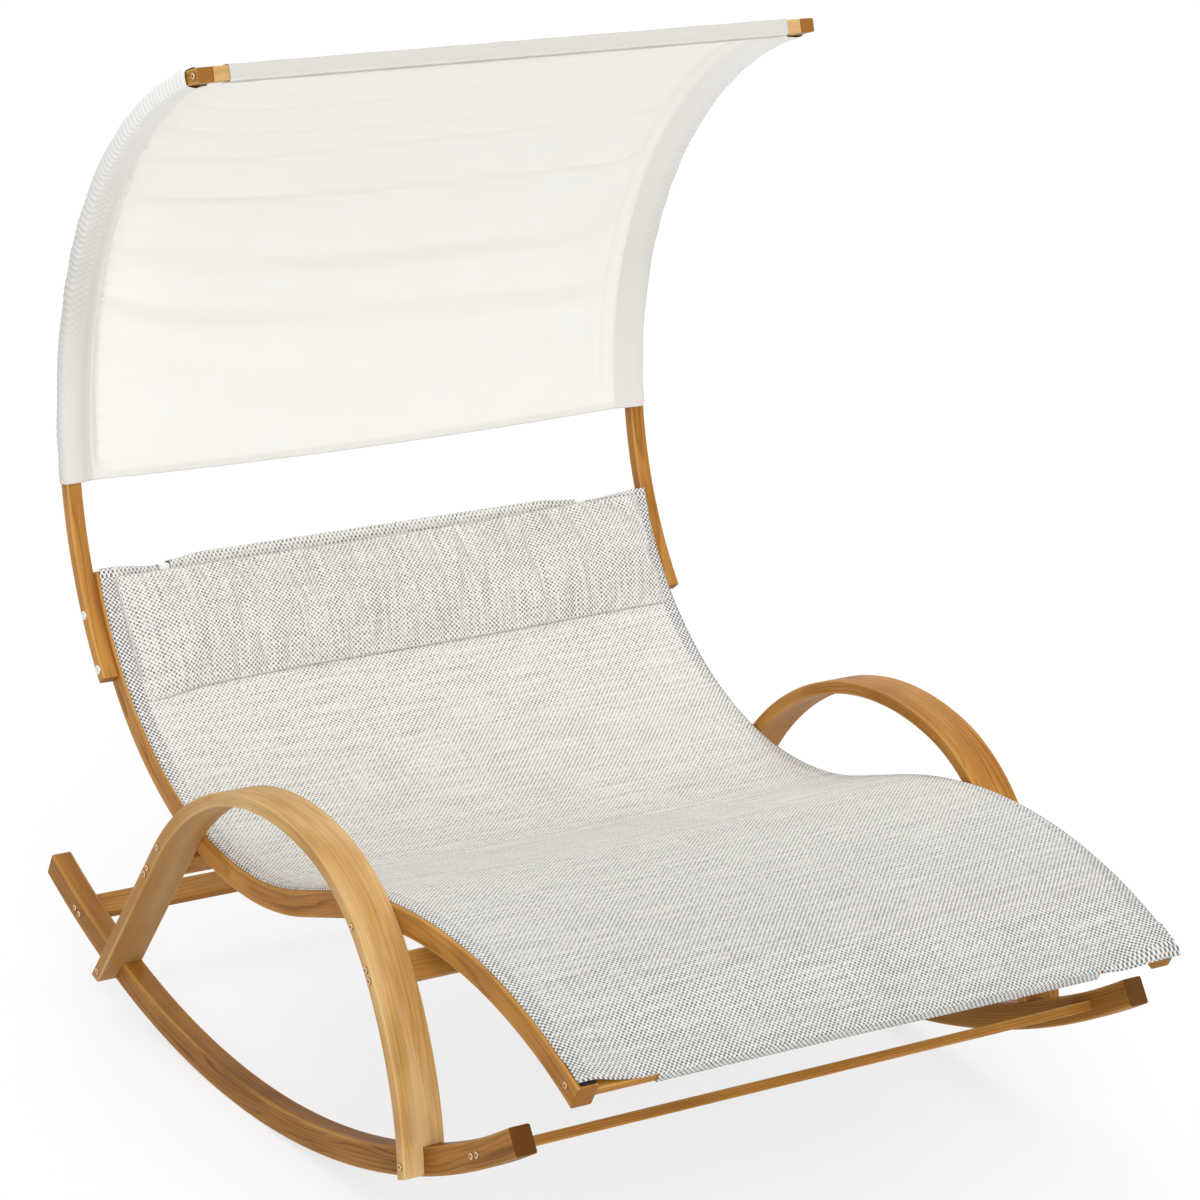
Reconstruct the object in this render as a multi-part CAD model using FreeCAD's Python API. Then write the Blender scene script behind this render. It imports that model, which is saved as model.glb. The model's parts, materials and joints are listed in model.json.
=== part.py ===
import FreeCAD, Part
import math
import os

# Double rocking lounger with a canopy.
# Millimetres and degrees. X runs across, -Y points to the foot end, +Z is up.
# Until the last section the pieces are upright, with Y = 0 at the middle of the rockers' circle.
# Angles are counted in the YZ plane from +Y towards +Z. The right side is modelled and the left mirrors it.

# The plane where the rails meet the arches, rockers and posts, counted from the middle
side_plane = 608.0

# How far the empty lounger leans back on its rockers
rest_lean = 3.4

# Rockers: laminated arcs that stand on the floor
rocker_radius = 1735.0
rocker_depth = 50.0
rocker_width = 41.0
rocker_front_sweep = 30.2
rocker_rear_sweep = 29.3
rocker_ease = 3.0

# Arm arches: wide thin bent wood, drawn by the convex face
arch_peak_y = -109.1
arch_peak_z = 626.4
arch_thickness = 25.0
arch_width = 80.0
arch_top_radius = 553.0
arch_shoulder_radius = 355.0
arch_leg_radius = 667.5
arch_shoulder_start = 17.7
arch_leg_start = 53.9
arch_leg_end = 100.0
arch_rear_slope = 50.1
arch_rear_leg = 500.0
arch_lap_lift = 3.0
arch_ease = 2.5

# Seat rails: a crest under the knees, a straight, and a hollow that runs up the back
rail_bend_y = -218.5
rail_bend_z = 485.8
rail_slope = 15.7
rail_straight = 139.0
rail_crest_radius = 986.0
rail_hollow_radius = 620.7
rail_foot_sweep = 30.9
rail_back_sweep = 71.9
rail_depth = 48.0
rail_width = 40.0
rail_ease = 4.0

# Canopy posts: arcs bolted to the outside of the rails
post_radius = 767.3
post_depth = 26.0
post_width = 30.5
post_foot_angle = -35.4
post_tip_angle = 77.2
post_ease = 2.5
post_bolt_upper_from_end = 74.0
post_bolt_lower_from_end = 176.0

# Battens: the same stock makes the beams and the bars between the two sides
batten_thickness = 18.0
batten_width = 52.0
batten_ease = 1.5
rocker_batten_from_end = 133.0
beam_drop = 48.0
bar_setback = 4.0
top_bar_width = 30.0

# Woven sling, the flat strips in its side hems, and its two tunnels
strip_width = 30.0
strip_thickness = 2.5
sling_thickness = 2.0
sling_half_width = 602.0
tunnel_half_width = 448.0
sling_foot_gap = 4.0
sling_head_gap = 12.0
tunnel_end_gap = 1.5
strap_notch_length = 64.0

# Canopy cloth
cloth_thickness = 1.0
cloth_hem_angle = -6.8
sleeve_seam_reach = 30.0
sleeve_tip_gap = 40.0

# Head pillow and its straps
pillow_half_length = 580.0
pillow_end_taper = 26.0
pillow_bulge = 48.0
pillow_top_from_end = 20.0
pillow_bottom_from_end = 248.0
strap_width = 22.0
strap_thickness = 1.2
strap_tab_width = 4.0

# Fasteners
shank_sides = 6
head_sides = 10
bolt_radius = 3.0
bolt_head_radius = 6.0
bolt_head_height = 2.2
bolt_pair_spacing = 19.0
batten_bolt_grip = 42.0
foot_screw_grip = 30.0
rail_screw_grip = 32.0
bar_bolt_grip = 45.0
top_screw_grip = 40.0
post_bolt_radius = 4.0
post_head_radius = 9.0
post_head_height = 4.5
washer_radius = 9.0
washer_thickness = 1.6
nut_radius = 7.0
nut_height = 5.5
nut_cap_radius = 5.5
nut_cap_height = 3.5
nut_cap_wall = 1.5

# Clearances
fit_gap = 0.3
hole_gap = 0.25
tunnel_gap = 0.5
sleeve_gap = 1.0
strap_side_gap = 4.0

X_AXIS = FreeCAD.Vector(1, 0, 0)


def polar(centre, radius, angle):
    turn = math.radians(angle)
    return (centre[0] + radius * math.cos(turn), centre[1] + radius * math.sin(turn))


def at_x(point, x):
    return FreeCAD.Vector(x, point[0], point[1])


def moved(point, direction, distance):
    return (point[0] + direction[0] * distance, point[1] + direction[1] * distance)


def heading(angle):
    return polar((0.0, 0.0), 1.0, angle)


def meet(centre_a, radius_a, centre_b, radius_b, towards):
    """The point where two circles cross, on the side given by the sign of towards."""
    gap_y = centre_b[0] - centre_a[0]
    gap_z = centre_b[1] - centre_a[1]
    gap = math.hypot(gap_y, gap_z)
    along = (gap * gap + radius_a ** 2 - radius_b ** 2) / (2 * gap)
    across = math.sqrt(radius_a ** 2 - along ** 2) * towards
    return (centre_a[0] + (along * gap_y - across * gap_z) / gap,
            centre_a[1] + (along * gap_z + across * gap_y) / gap)


def angle_from(centre, point):
    return math.degrees(math.atan2(point[1] - centre[1], point[0] - centre[0]))


# A path is a list of tangent stretches. An arc is (centre, radius, start, end, side), where side says
# whether the outer face lies at the larger (1) or the smaller (-1) radius.
# A straight is (start point, end point, outward direction).
def stretch_edge(stretch, offset, x):
    if len(stretch) == 3:
        start = moved(stretch[0], stretch[2], offset)
        end = moved(stretch[1], stretch[2], offset)
        return Part.LineSegment(at_x(start, x), at_x(end, x)).toShape()
    centre, radius, start, end, side = stretch
    reach = radius + side * offset
    points = [at_x(polar(centre, reach, angle), x) for angle in (start, (start + end) / 2, end)]
    return Part.Arc(*points).toShape()


def path_ends(path, offset):
    ends = []
    for stretch, last in ((path[0], False), (path[-1], True)):
        if len(stretch) == 3:
            ends.append(moved(stretch[1 if last else 0], stretch[2], offset))
        else:
            centre, radius, start, end, side = stretch
            ends.append(polar(centre, radius + side * offset, end if last else start))
    return ends


def band(path, inner, outer, x_from, x_to):
    """A bar that follows a path between two offsets, from one X to the other."""
    edges = [stretch_edge(stretch, offset, x_from) for offset in (inner, outer) for stretch in path]
    for low, high in zip(path_ends(path, inner), path_ends(path, outer)):
        edges.append(Part.LineSegment(at_x(low, x_from), at_x(high, x_from)).toShape())
    wire = Part.Wire(Part.__sortEdges__(edges))
    return Part.Face(wire).extrude(X_AXIS * (x_to - x_from))


def ease_long_edges(solid, ease, shortest):
    """Bevel the edges that run along a bar, and leave its sawn ends sharp."""
    faces = (solid.BoundBox.XMin, solid.BoundBox.XMax)
    edges = []
    for edge in solid.Edges:
        box = edge.BoundBox
        on_a_side = any(abs(box.XMin - x) < 1e-4 and abs(box.XMax - x) < 1e-4 for x in faces)
        if on_a_side and edge.Length > shortest:
            edges.append(edge)
    return solid.makeChamfer(ease, edges)


def plank(centre, along_angle, width, thickness, x_from, x_to):
    """A straight plank across the lounger, its width lying along an angle."""
    along = heading(along_angle)
    out = heading(along_angle + 90)
    corners = [moved(moved(centre, along, a * width / 2), out, b * thickness / 2)
               for a, b in ((-1, -1), (1, -1), (1, 1), (-1, 1))]
    wire = Part.makePolygon([at_x(corner, x_from) for corner in corners + corners[:1]])
    return Part.Face(wire).extrude(X_AXIS * (x_to - x_from))


def eased_plank(centre, along_angle, width, thickness, half_length, ease):
    solid = plank(centre, along_angle, width, thickness, -half_length, half_length)
    edges = [edge for edge in solid.Edges if edge.Length > 1.9 * half_length]
    return solid.makeChamfer(ease, edges)


def rod(point, radius, x_from, x_to):
    return Part.makeCylinder(radius, x_to - x_from, at_x(point, x_from), X_AXIS)


def peg(point, radius, sides, x_from, x_to):
    """A small round part or hole along X, drawn with flat sides so that the many fasteners stay light."""
    corners = [at_x(polar(point, radius, 360.0 * step / sides), x_from) for step in range(sides + 1)]
    return Part.Face(Part.makePolygon(corners)).extrude(X_AXIS * (x_to - x_from))


def bolt(point, head_face, tip, radius, head_radius, head_height):
    """A bolt along X: its low head stands on head_face and its shank runs inwards to tip."""
    head = peg(point, head_radius, head_sides, head_face, head_face + head_height)
    return head.fuse(peg(point, radius, shank_sides, tip, head_face)).removeSplitter()


def both_sides(solids):
    mirror = [solid.mirror(FreeCAD.Vector(0, 0, 0), X_AXIS) for solid in solids]
    return Part.makeCompound(solids + mirror)


def pair(point, along_angle):
    along = heading(along_angle)
    return [moved(point, along, step * bolt_pair_spacing / 2) for step in (-1, 1)]


# Paths and places that the pieces share
rocker_centre = (0.0, rocker_radius)
rocker_mid = rocker_radius - rocker_depth / 2
rocker_outer = side_plane + rocker_width
rocker_front = -90 - rocker_front_sweep
rocker_rear = -90 + rocker_rear_sweep
rocker_rest = -90 + rest_lean
rocker_path = [
    (rocker_centre, rocker_radius, rocker_front, rocker_rest, 1),
    (rocker_centre, rocker_radius, rocker_rest, rocker_rear, 1),
]

arch_outer = side_plane + arch_width
arch_top_centre = (arch_peak_y, arch_peak_z - arch_top_radius)
shoulder_angle = 90 + arch_shoulder_start
leg_angle = 90 + arch_leg_start
rear_angle = 90 - arch_rear_slope
shoulder_centre = moved(arch_top_centre, heading(shoulder_angle), arch_top_radius - arch_shoulder_radius)
leg_centre = moved(shoulder_centre, heading(leg_angle), arch_shoulder_radius - arch_leg_radius)
rear_bend = polar(arch_top_centre, arch_top_radius, rear_angle)
rear_down = heading(-arch_rear_slope)
rear_out = heading(rear_angle)
arch_path = [
    (moved(rear_bend, rear_down, arch_rear_leg), rear_bend, rear_out),
    (arch_top_centre, arch_top_radius, rear_angle, shoulder_angle, 1),
    (shoulder_centre, arch_shoulder_radius, shoulder_angle, leg_angle, 1),
    (leg_centre, arch_leg_radius, leg_angle, 90 + arch_leg_end, 1),
]
arch_middle = -arch_thickness / 2

rail_inner = side_plane - rail_width
rail_down = heading(-rail_slope)
rail_up = heading(90 - rail_slope)
rail_bend = (rail_bend_y, rail_bend_z)
rail_hollow_start = moved(rail_bend, rail_down, rail_straight)
crest_centre = moved(rail_bend, rail_up, -rail_crest_radius)
hollow_centre = moved(rail_hollow_start, rail_up, rail_hollow_radius)
rail_middle = -rail_depth / 2
foot_angle = 90 + rail_foot_sweep
head_angle = -90 + rail_back_sweep
foot_out = heading(foot_angle + 90)
foot_up = heading(foot_angle)
head_out = heading(head_angle + 90)
head_up = heading(head_angle + 180)
foot_end = polar(crest_centre, rail_crest_radius, foot_angle)
head_end = polar(hollow_centre, rail_hollow_radius, head_angle)


def hollow_angle(from_end):
    return head_angle - math.degrees(from_end / rail_hollow_radius)


def seat_path(foot_gap, head_gap):
    """The rail's top line, stopped short of the rail's two ends."""
    foot = foot_angle - math.degrees(foot_gap / rail_crest_radius)
    return [
        (crest_centre, rail_crest_radius, foot, 90 - rail_slope, 1),
        (rail_bend, rail_hollow_start, rail_up),
        (hollow_centre, rail_hollow_radius, -90 - rail_slope, hollow_angle(head_gap), -1),
    ]


def at_foot(along, up):
    return moved(moved(foot_end, foot_out, along), foot_up, up)


def at_head(along, up):
    return moved(moved(head_end, head_out, along), head_up, up)


# The two bolts of each post lie in the middle of the rail, and the post's arc passes through both
hollow_middle = rail_hollow_radius - rail_middle
post_bolts_at = [polar(hollow_centre, hollow_middle, hollow_angle(distance))
                 for distance in (post_bolt_lower_from_end, post_bolt_upper_from_end)]
post_mid = post_radius - post_depth / 2
post_centre = meet(post_bolts_at[0], post_mid, post_bolts_at[1], post_mid, 1)
post_outer = side_plane + post_width
post_path = [(post_centre, post_radius, post_foot_angle, post_tip_angle, 1)]


def post_angle_before_tip(distance):
    return post_tip_angle - math.degrees(distance / post_mid)


# Screws: each one sits where the middle lines of its two pieces cross
crest_middle = rail_crest_radius + rail_middle
rail_screws_at = [
    meet(shoulder_centre, arch_shoulder_radius + arch_middle, crest_centre, crest_middle, -1),
    meet(arch_top_centre, arch_top_radius + arch_middle, hollow_centre, hollow_middle, -1),
]
leg_middle = arch_leg_radius + arch_middle
rear_middle = moved(rear_bend, rear_out, arch_middle)
foot_screw_front = meet(leg_centre, leg_middle, rocker_centre, rocker_mid, 1)


def down_to_circle(start, direction, centre, radius):
    """The point where a line that starts inside a circle leaves it."""
    offset = (start[0] - centre[0], start[1] - centre[1])
    lean = offset[0] * direction[0] + offset[1] * direction[1]
    reach = math.sqrt(lean ** 2 - offset[0] ** 2 - offset[1] ** 2 + radius ** 2) - lean
    return moved(start, direction, reach)


foot_screw_rear = down_to_circle(rear_middle, rear_down, rocker_centre, rocker_mid)
foot_screws_at = [foot_screw_front, foot_screw_rear]

# Beams and bars: middle point, and the angle along which the width lies. The beams hang below the rails
front_beam_at = meet(leg_centre, leg_middle, crest_centre, rail_crest_radius - rail_depth - beam_drop, -1)
rear_beam_at = down_to_circle(rear_middle, rear_down, hollow_centre, rail_hollow_radius + rail_depth + beam_drop)
front_beam_angle = angle_from(leg_centre, front_beam_at) - 90
seat_beams = [(front_beam_at, front_beam_angle), (rear_beam_at, -arch_rear_slope)]
batten_step = math.degrees(rocker_batten_from_end / rocker_mid)
rocker_battens = [(polar(rocker_centre, rocker_mid, angle), angle + 90)
                  for angle in (rocker_front + batten_step, rocker_rear - batten_step)]
bar_along = -bar_setback - batten_width / 2
foot_bar_at = at_foot(bar_along, rail_middle)
head_bar_at = at_head(bar_along, rail_middle)
bars = [(foot_bar_at, foot_angle - 90), (head_bar_at, head_angle + 90)]
top_bar_step = math.degrees(top_bar_width / 2 / post_mid)
top_bar_at = polar(post_centre, post_mid, post_tip_angle - top_bar_step)
top_bar_angle = post_tip_angle - top_bar_step - 90


def shank_hole(point, x_from, x_to, radius=bolt_radius):
    return peg(point, radius + hole_gap, shank_sides, x_from, x_to)


# Wooden side pieces
def make_rocker():
    solid = ease_long_edges(band(rocker_path, -rocker_depth, 0.0, side_plane, rocker_outer),
                            rocker_ease, rocker_depth * 1.5)
    holes = [shank_hole(point, rocker_outer - foot_screw_grip, rocker_outer) for point in foot_screws_at]
    for place, angle in rocker_battens:
        holes += [shank_hole(point, side_plane, rocker_outer) for point in pair(place, angle)]
    return solid.cut(holes)


def make_arm_arch():
    solid = ease_long_edges(band(arch_path, -arch_thickness, 0.0, side_plane, arch_outer),
                            arch_ease, arch_thickness * 2)
    standing = rod(rocker_centre, rocker_radius - rocker_depth - fit_gap, side_plane, rocker_outer)
    lapping = rod(rocker_centre, rocker_radius - arch_lap_lift, rocker_outer, arch_outer)
    solid = solid.common(standing.fuse(lapping))
    holes = [shank_hole(point, side_plane, arch_outer) for point in rail_screws_at]
    holes += [shank_hole(point, rocker_outer, arch_outer) for point in foot_screws_at]
    for place, angle in seat_beams:
        holes += [shank_hole(point, side_plane, arch_outer) for point in pair(place, angle)]
    return solid.cut(holes)


def make_seat_rail():
    solid = ease_long_edges(band(seat_path(0.0, 0.0), -rail_depth, 0.0, rail_inner, side_plane),
                            rail_ease, rail_depth * 1.5)
    holes = [shank_hole(point, side_plane - rail_screw_grip, side_plane) for point in rail_screws_at]
    holes += [shank_hole(point, rail_inner, side_plane, post_bolt_radius) for point in post_bolts_at]
    sunk = side_plane - bolt_head_height - fit_gap
    for place, angle in bars:
        holes.append(shank_hole(place, rail_inner, side_plane))
        holes.append(peg(place, bolt_head_radius + hole_gap, head_sides, sunk, side_plane))
    return solid.cut(holes)


def make_canopy_post():
    solid = ease_long_edges(band(post_path, -post_depth, 0.0, side_plane, post_outer),
                            post_ease, post_depth * 2)
    holes = [shank_hole(point, side_plane, post_outer, post_bolt_radius) for point in post_bolts_at]
    holes.append(shank_hole(top_bar_at, side_plane, post_outer))
    return solid.cut(holes)


# Wooden cross pieces
def make_batten(place, angle):
    """A batten between the two sides, with a pair of bolt holes in each end."""
    solid = eased_plank(place, angle, batten_width, batten_thickness, side_plane, batten_ease)
    holes = [shank_hole(point, side_plane - batten_bolt_grip, side_plane) for point in pair(place, angle)]
    return solid.cut(both_sides(holes).Solids)


def make_bar(place, angle, width, thickness, half_length, radius, grip):
    solid = eased_plank(place, angle, width, thickness, half_length, radius)
    return solid.cut(both_sides([shank_hole(place, half_length - grip, half_length)]).Solids)


# Sling, strips, cloth and pillow
strip_top = fit_gap + strip_thickness
sling_low = strip_top + fit_gap
sling_top = sling_low + sling_thickness


def make_sling_strip():
    path = seat_path(sling_foot_gap, sling_head_gap)
    return band(path, fit_gap, strip_top, sling_half_width - strip_width, sling_half_width)


def make_tunnel(at_end):
    """The loop of the sling round a bar, hanging from the sheet above it."""
    front = -bar_setback + tunnel_gap
    back = -bar_setback - batten_width - tunnel_gap
    under = rail_middle - batten_thickness / 2 - tunnel_gap
    wall = sling_thickness
    over = sling_low + wall / 2
    outside = [(back - wall, over), (back - wall, under - wall),
               (front + wall, under - wall), (front + wall, over)]
    inside = [(back, over), (back, under), (front, under), (front, over)]
    faces = []
    for corners in (outside, inside):
        points = [at_x(at_end(*corner), -tunnel_half_width) for corner in corners + corners[:1]]
        faces.append(Part.Face(Part.makePolygon(points)))
    return faces[0].cut(faces[1]).extrude(X_AXIS * 2 * tunnel_half_width)


def make_sling():
    middle = band(seat_path(tunnel_end_gap, tunnel_end_gap), sling_low, sling_top,
                  -tunnel_half_width, tunnel_half_width)
    sides = [band(seat_path(sling_foot_gap, sling_head_gap), sling_low, sling_top, *span)
             for span in ((tunnel_half_width, sling_half_width), (-sling_half_width, -tunnel_half_width))]
    sheet = middle.multiFuse(sides + [make_tunnel(at_foot), make_tunnel(at_head)]).removeSplitter()
    notch_width = strap_width + 2 * strap_side_gap
    notch_depth = 2 * rail_depth
    notch = plank(at_head(-strap_notch_length / 2, 0.0), head_angle + 90, strap_notch_length, notch_depth,
                  tunnel_half_width, tunnel_half_width + notch_width)
    return sheet.cut(both_sides([notch]))


def revolved(section, start, end):
    """Turn a face, drawn in the plane of X and the post's radius, along the post's arc."""
    base = at_x(post_centre, 0.0)
    face = section.copy()
    face.rotate(base, X_AXIS, start)
    return face.revolve(base, X_AXIS, end - start)


def section_face(points):
    corners = [FreeCAD.Vector(x, post_centre[0] + radius, post_centre[1]) for x, radius in points]
    return Part.Face(Part.makePolygon(corners + corners[:1]))


def make_canopy_cloth():
    seam = side_plane - sleeve_seam_reach
    low = post_radius - post_depth - sleeve_gap
    high = post_radius + sleeve_gap
    far = post_outer + sleeve_gap
    half = cloth_thickness / 2
    outer = [(seam, post_mid + half), (side_plane, high + cloth_thickness),
             (far + cloth_thickness, high + cloth_thickness), (far + cloth_thickness, low - cloth_thickness),
             (side_plane, low - cloth_thickness), (seam, post_mid - half)]
    inner = [(seam + 2 * cloth_thickness, post_mid), (side_plane, high), (far, high),
             (far, low), (side_plane, low)]
    sleeve_face = section_face(outer).cut(section_face(inner))
    sleeve = revolved(sleeve_face, cloth_hem_angle, post_angle_before_tip(sleeve_tip_gap))
    panel_face = section_face([(-seam, post_mid - half), (seam, post_mid - half),
                               (seam, post_mid + half), (-seam, post_mid + half)])
    panel = revolved(panel_face, cloth_hem_angle, post_angle_before_tip(top_bar_width + sleeve_gap + half))
    wrap_width = top_bar_width + 2 * sleeve_gap
    wrap_depth = post_depth + 2 * sleeve_gap
    wrap = plank(top_bar_at, top_bar_angle, wrap_width + 2 * cloth_thickness,
                 wrap_depth + 2 * cloth_thickness, -seam, seam)
    wrap = wrap.cut(plank(top_bar_at, top_bar_angle, wrap_width, wrap_depth, -seam, seam))
    return panel.multiFuse(both_sides(sleeve.Solids).Solids + [wrap]).removeSplitter()


def make_pillow():
    """A long lens lying on the sling, with its ends cut on the slant and its top seam on the hinge line."""
    back = rail_hollow_radius - sling_top - fit_gap
    top = hollow_angle(pillow_top_from_end)
    bottom = hollow_angle(pillow_bottom_from_end)
    middle = (top + bottom) / 2
    seams = [at_x(polar(hollow_centre, back, angle), -pillow_half_length) for angle in (bottom, top)]
    rear = Part.Arc(seams[0], at_x(polar(hollow_centre, back, middle), -pillow_half_length), seams[1])
    crown = at_x(polar(hollow_centre, back - pillow_bulge, middle), -pillow_half_length)
    front = Part.Arc(seams[0], crown, seams[1])
    solid = Part.Face(Part.Wire([rear.toShape(), front.toShape()])).extrude(X_AXIS * 2 * pillow_half_length)
    edge_out = heading(middle + 180)
    corner = polar(hollow_centre, back, middle)
    tip = moved(corner, edge_out, pillow_bulge)
    long_way = heading(middle + 90)
    reach = pillow_bottom_from_end
    wedge_points = [(pillow_half_length, corner), (pillow_half_length, tip),
                    (pillow_half_length - pillow_end_taper, tip)]
    start = [at_x(moved(point, long_way, -reach), x) for x, point in wedge_points]
    wedge = Part.Face(Part.makePolygon(start + start[:1]))
    wedge = wedge.extrude(FreeCAD.Vector(0, long_way[0], long_way[1]) * 2 * reach)
    return solid.cut(both_sides([wedge]))


def make_pillow_strap():
    """A flat band round the bare part of the head bar, with a tab up to the pillow's top seam."""
    x_from = tunnel_half_width + strap_side_gap
    x_to = x_from + strap_width
    place, angle = bars[1]
    wide = batten_width + 2 * fit_gap
    deep = batten_thickness + 2 * fit_gap
    loop = plank(place, angle, wide + 2 * strap_thickness, deep + 2 * strap_thickness, x_from, x_to)
    loop = loop.cut(plank(place, angle, wide, deep, x_from, x_to))
    low = rail_middle + deep / 2
    high = sling_top - fit_gap
    tab_at = at_head(-pillow_top_from_end, (low + high) / 2)
    tab = plank(tab_at, angle, strap_tab_width, high - low, x_from, x_to)
    return loop.fuse(tab).removeSplitter()


# Fasteners: the right-hand ones are made and both_sides adds the left-hand ones
def plain_bolts(points, head_face, tip):
    return [bolt(point, head_face, tip, bolt_radius, bolt_head_radius, bolt_head_height) for point in points]


def paired_bolts(places, head_face):
    tip = side_plane - batten_bolt_grip + fit_gap
    return both_sides([solid for place, angle in places
                       for solid in plain_bolts(pair(place, angle), head_face, tip)])


def make_bar_bolts():
    head_face = side_plane - bolt_head_height - fit_gap / 2
    tip = rail_inner - bar_bolt_grip + fit_gap
    return both_sides(plain_bolts([place for place, angle in bars], head_face, tip))


def make_post_bolts():
    tip = rail_inner - washer_thickness - nut_height
    return both_sides([bolt(point, post_outer, tip, post_bolt_radius, post_head_radius, post_head_height)
                       for point in post_bolts_at])


def make_post_washers():
    rings = [peg(point, washer_radius, head_sides, rail_inner - washer_thickness, rail_inner)
             for point in post_bolts_at]
    bores = [shank_hole(point, rail_inner - washer_thickness, rail_inner, post_bolt_radius)
             for point in post_bolts_at]
    return both_sides([ring.cut(bore) for ring, bore in zip(rings, bores)])


def make_post_nuts():
    """Cap nuts: a hexagon with a round end, closed over the bolt's tip."""
    seat = rail_inner - washer_thickness
    nuts = []
    for point in post_bolts_at:
        crown = seat - nut_height - nut_cap_height
        flats = peg(point, nut_radius, 6, seat - nut_height, seat)
        cap = peg(point, nut_cap_radius, head_sides, crown, seat)
        bore = shank_hole(point, crown + nut_cap_wall, seat, post_bolt_radius)
        nuts.append(flats.fuse(cap).removeSplitter().cut(bore))
    return both_sides(nuts)


pieces = {}
for name, make in (("rocker", make_rocker), ("arm_arch", make_arm_arch), ("seat_rail", make_seat_rail),
                   ("canopy_post", make_canopy_post), ("sling_strip", make_sling_strip),
                   ("pillow_strap", make_pillow_strap)):
    right = make()
    pieces["right_" + name] = right
    pieces["left_" + name] = right.mirror(FreeCAD.Vector(0, 0, 0), X_AXIS)
for name, (place, angle) in zip(("front_seat_beam", "rear_seat_beam"), seat_beams):
    pieces[name] = make_batten(place, angle)
for name, (place, angle) in zip(("front_rocker_batten", "rear_rocker_batten"), rocker_battens):
    pieces[name] = make_batten(place, angle)
for name, (place, angle) in zip(("foot_bar", "head_bar"), bars):
    pieces[name] = make_bar(place, angle, batten_width, batten_thickness, rail_inner,
                            batten_ease, bar_bolt_grip)
pieces["canopy_top_bar"] = make_bar(top_bar_at, top_bar_angle, top_bar_width, post_depth, side_plane,
                                    batten_ease, top_screw_grip)
pieces["sling"] = make_sling()
pieces["canopy_cloth"] = make_canopy_cloth()
pieces["pillow"] = make_pillow()
pieces["rail_screws"] = both_sides(plain_bolts(rail_screws_at, arch_outer,
                                               side_plane - rail_screw_grip + fit_gap))
pieces["arch_foot_screws"] = both_sides(plain_bolts(foot_screws_at, arch_outer,
                                                    rocker_outer - foot_screw_grip + fit_gap))
pieces["seat_beam_bolts"] = paired_bolts(seat_beams, arch_outer)
pieces["rocker_batten_bolts"] = paired_bolts(rocker_battens, rocker_outer)
pieces["bar_bolts"] = make_bar_bolts()
pieces["post_bolts"] = make_post_bolts()
pieces["post_washers"] = make_post_washers()
pieces["post_nuts"] = make_post_nuts()
pieces["top_bar_screws"] = both_sides(plain_bolts([top_bar_at], post_outer,
                                                  side_plane - top_screw_grip + fit_gap))

# The lounger rolls back on its rockers, and the origin goes on the floor under the middle of the whole
whole = FreeCAD.BoundBox()
for shape in pieces.values():
    shape.rotate(at_x(rocker_centre, 0.0), X_AXIS, -rest_lean)
    whole.add(shape.BoundBox)
to_origin = FreeCAD.Vector(0, -(whole.YMin + whole.YMax) / 2, 0)

os.makedirs("parts", exist_ok=True)
for name, shape in pieces.items():
    shape.translate(to_origin)
    shape.exportStep("parts/" + name + ".step")
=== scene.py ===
import functools
import json
import math

import bmesh
import bpy
import numpy as np
from mathutils import Matrix, Vector


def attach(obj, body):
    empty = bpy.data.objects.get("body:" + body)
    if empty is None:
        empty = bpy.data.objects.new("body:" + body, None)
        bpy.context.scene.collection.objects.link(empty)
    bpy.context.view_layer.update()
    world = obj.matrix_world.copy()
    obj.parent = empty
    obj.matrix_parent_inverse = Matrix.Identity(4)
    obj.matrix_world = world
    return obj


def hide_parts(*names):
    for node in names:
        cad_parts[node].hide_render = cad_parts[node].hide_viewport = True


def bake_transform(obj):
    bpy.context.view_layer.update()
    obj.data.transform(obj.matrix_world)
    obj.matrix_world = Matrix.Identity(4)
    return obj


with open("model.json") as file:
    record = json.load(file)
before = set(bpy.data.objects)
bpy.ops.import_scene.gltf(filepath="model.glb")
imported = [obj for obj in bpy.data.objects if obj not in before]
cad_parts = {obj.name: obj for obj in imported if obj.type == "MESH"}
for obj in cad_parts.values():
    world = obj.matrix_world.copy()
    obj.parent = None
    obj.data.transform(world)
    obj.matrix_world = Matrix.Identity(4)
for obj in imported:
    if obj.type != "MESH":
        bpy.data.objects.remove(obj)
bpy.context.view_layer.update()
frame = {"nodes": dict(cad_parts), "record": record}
scene = bpy.context.scene

# Shapes are drawn upright in millimetres, with Y = 0 at the middle of the rockers' circle.
# to_row leans them back as the lounger rests and gives metres in the row's frame.
# Angles are degrees in the YZ plane from +Y towards +Z.
rest_lean = math.radians(3.4)
rocker_radius = 1735.0
floor_line = frame["record"]["mounts"][0]["pos_m"][1]


def to_row(points):
    points = np.asarray(points, float)
    up = points[:, 2] - rocker_radius
    row = np.empty_like(points)
    row[:, 0] = points[:, 0]
    row[:, 1] = points[:, 1] * math.cos(rest_lean) + up * math.sin(rest_lean)
    row[:, 2] = rocker_radius - points[:, 1] * math.sin(rest_lean) + up * math.cos(rest_lean)
    row /= 1000
    row[:, 1] += floor_line
    return row


def polar(centre, radius, angle):
    turn = math.radians(angle)
    return (centre[0] + radius * math.cos(turn), centre[1] + radius * math.sin(turn))


def heading(angle):
    return polar((0.0, 0.0), 1.0, angle)


def moved(point, direction, distance):
    return (point[0] + direction[0] * distance, point[1] + direction[1] * distance)


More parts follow.
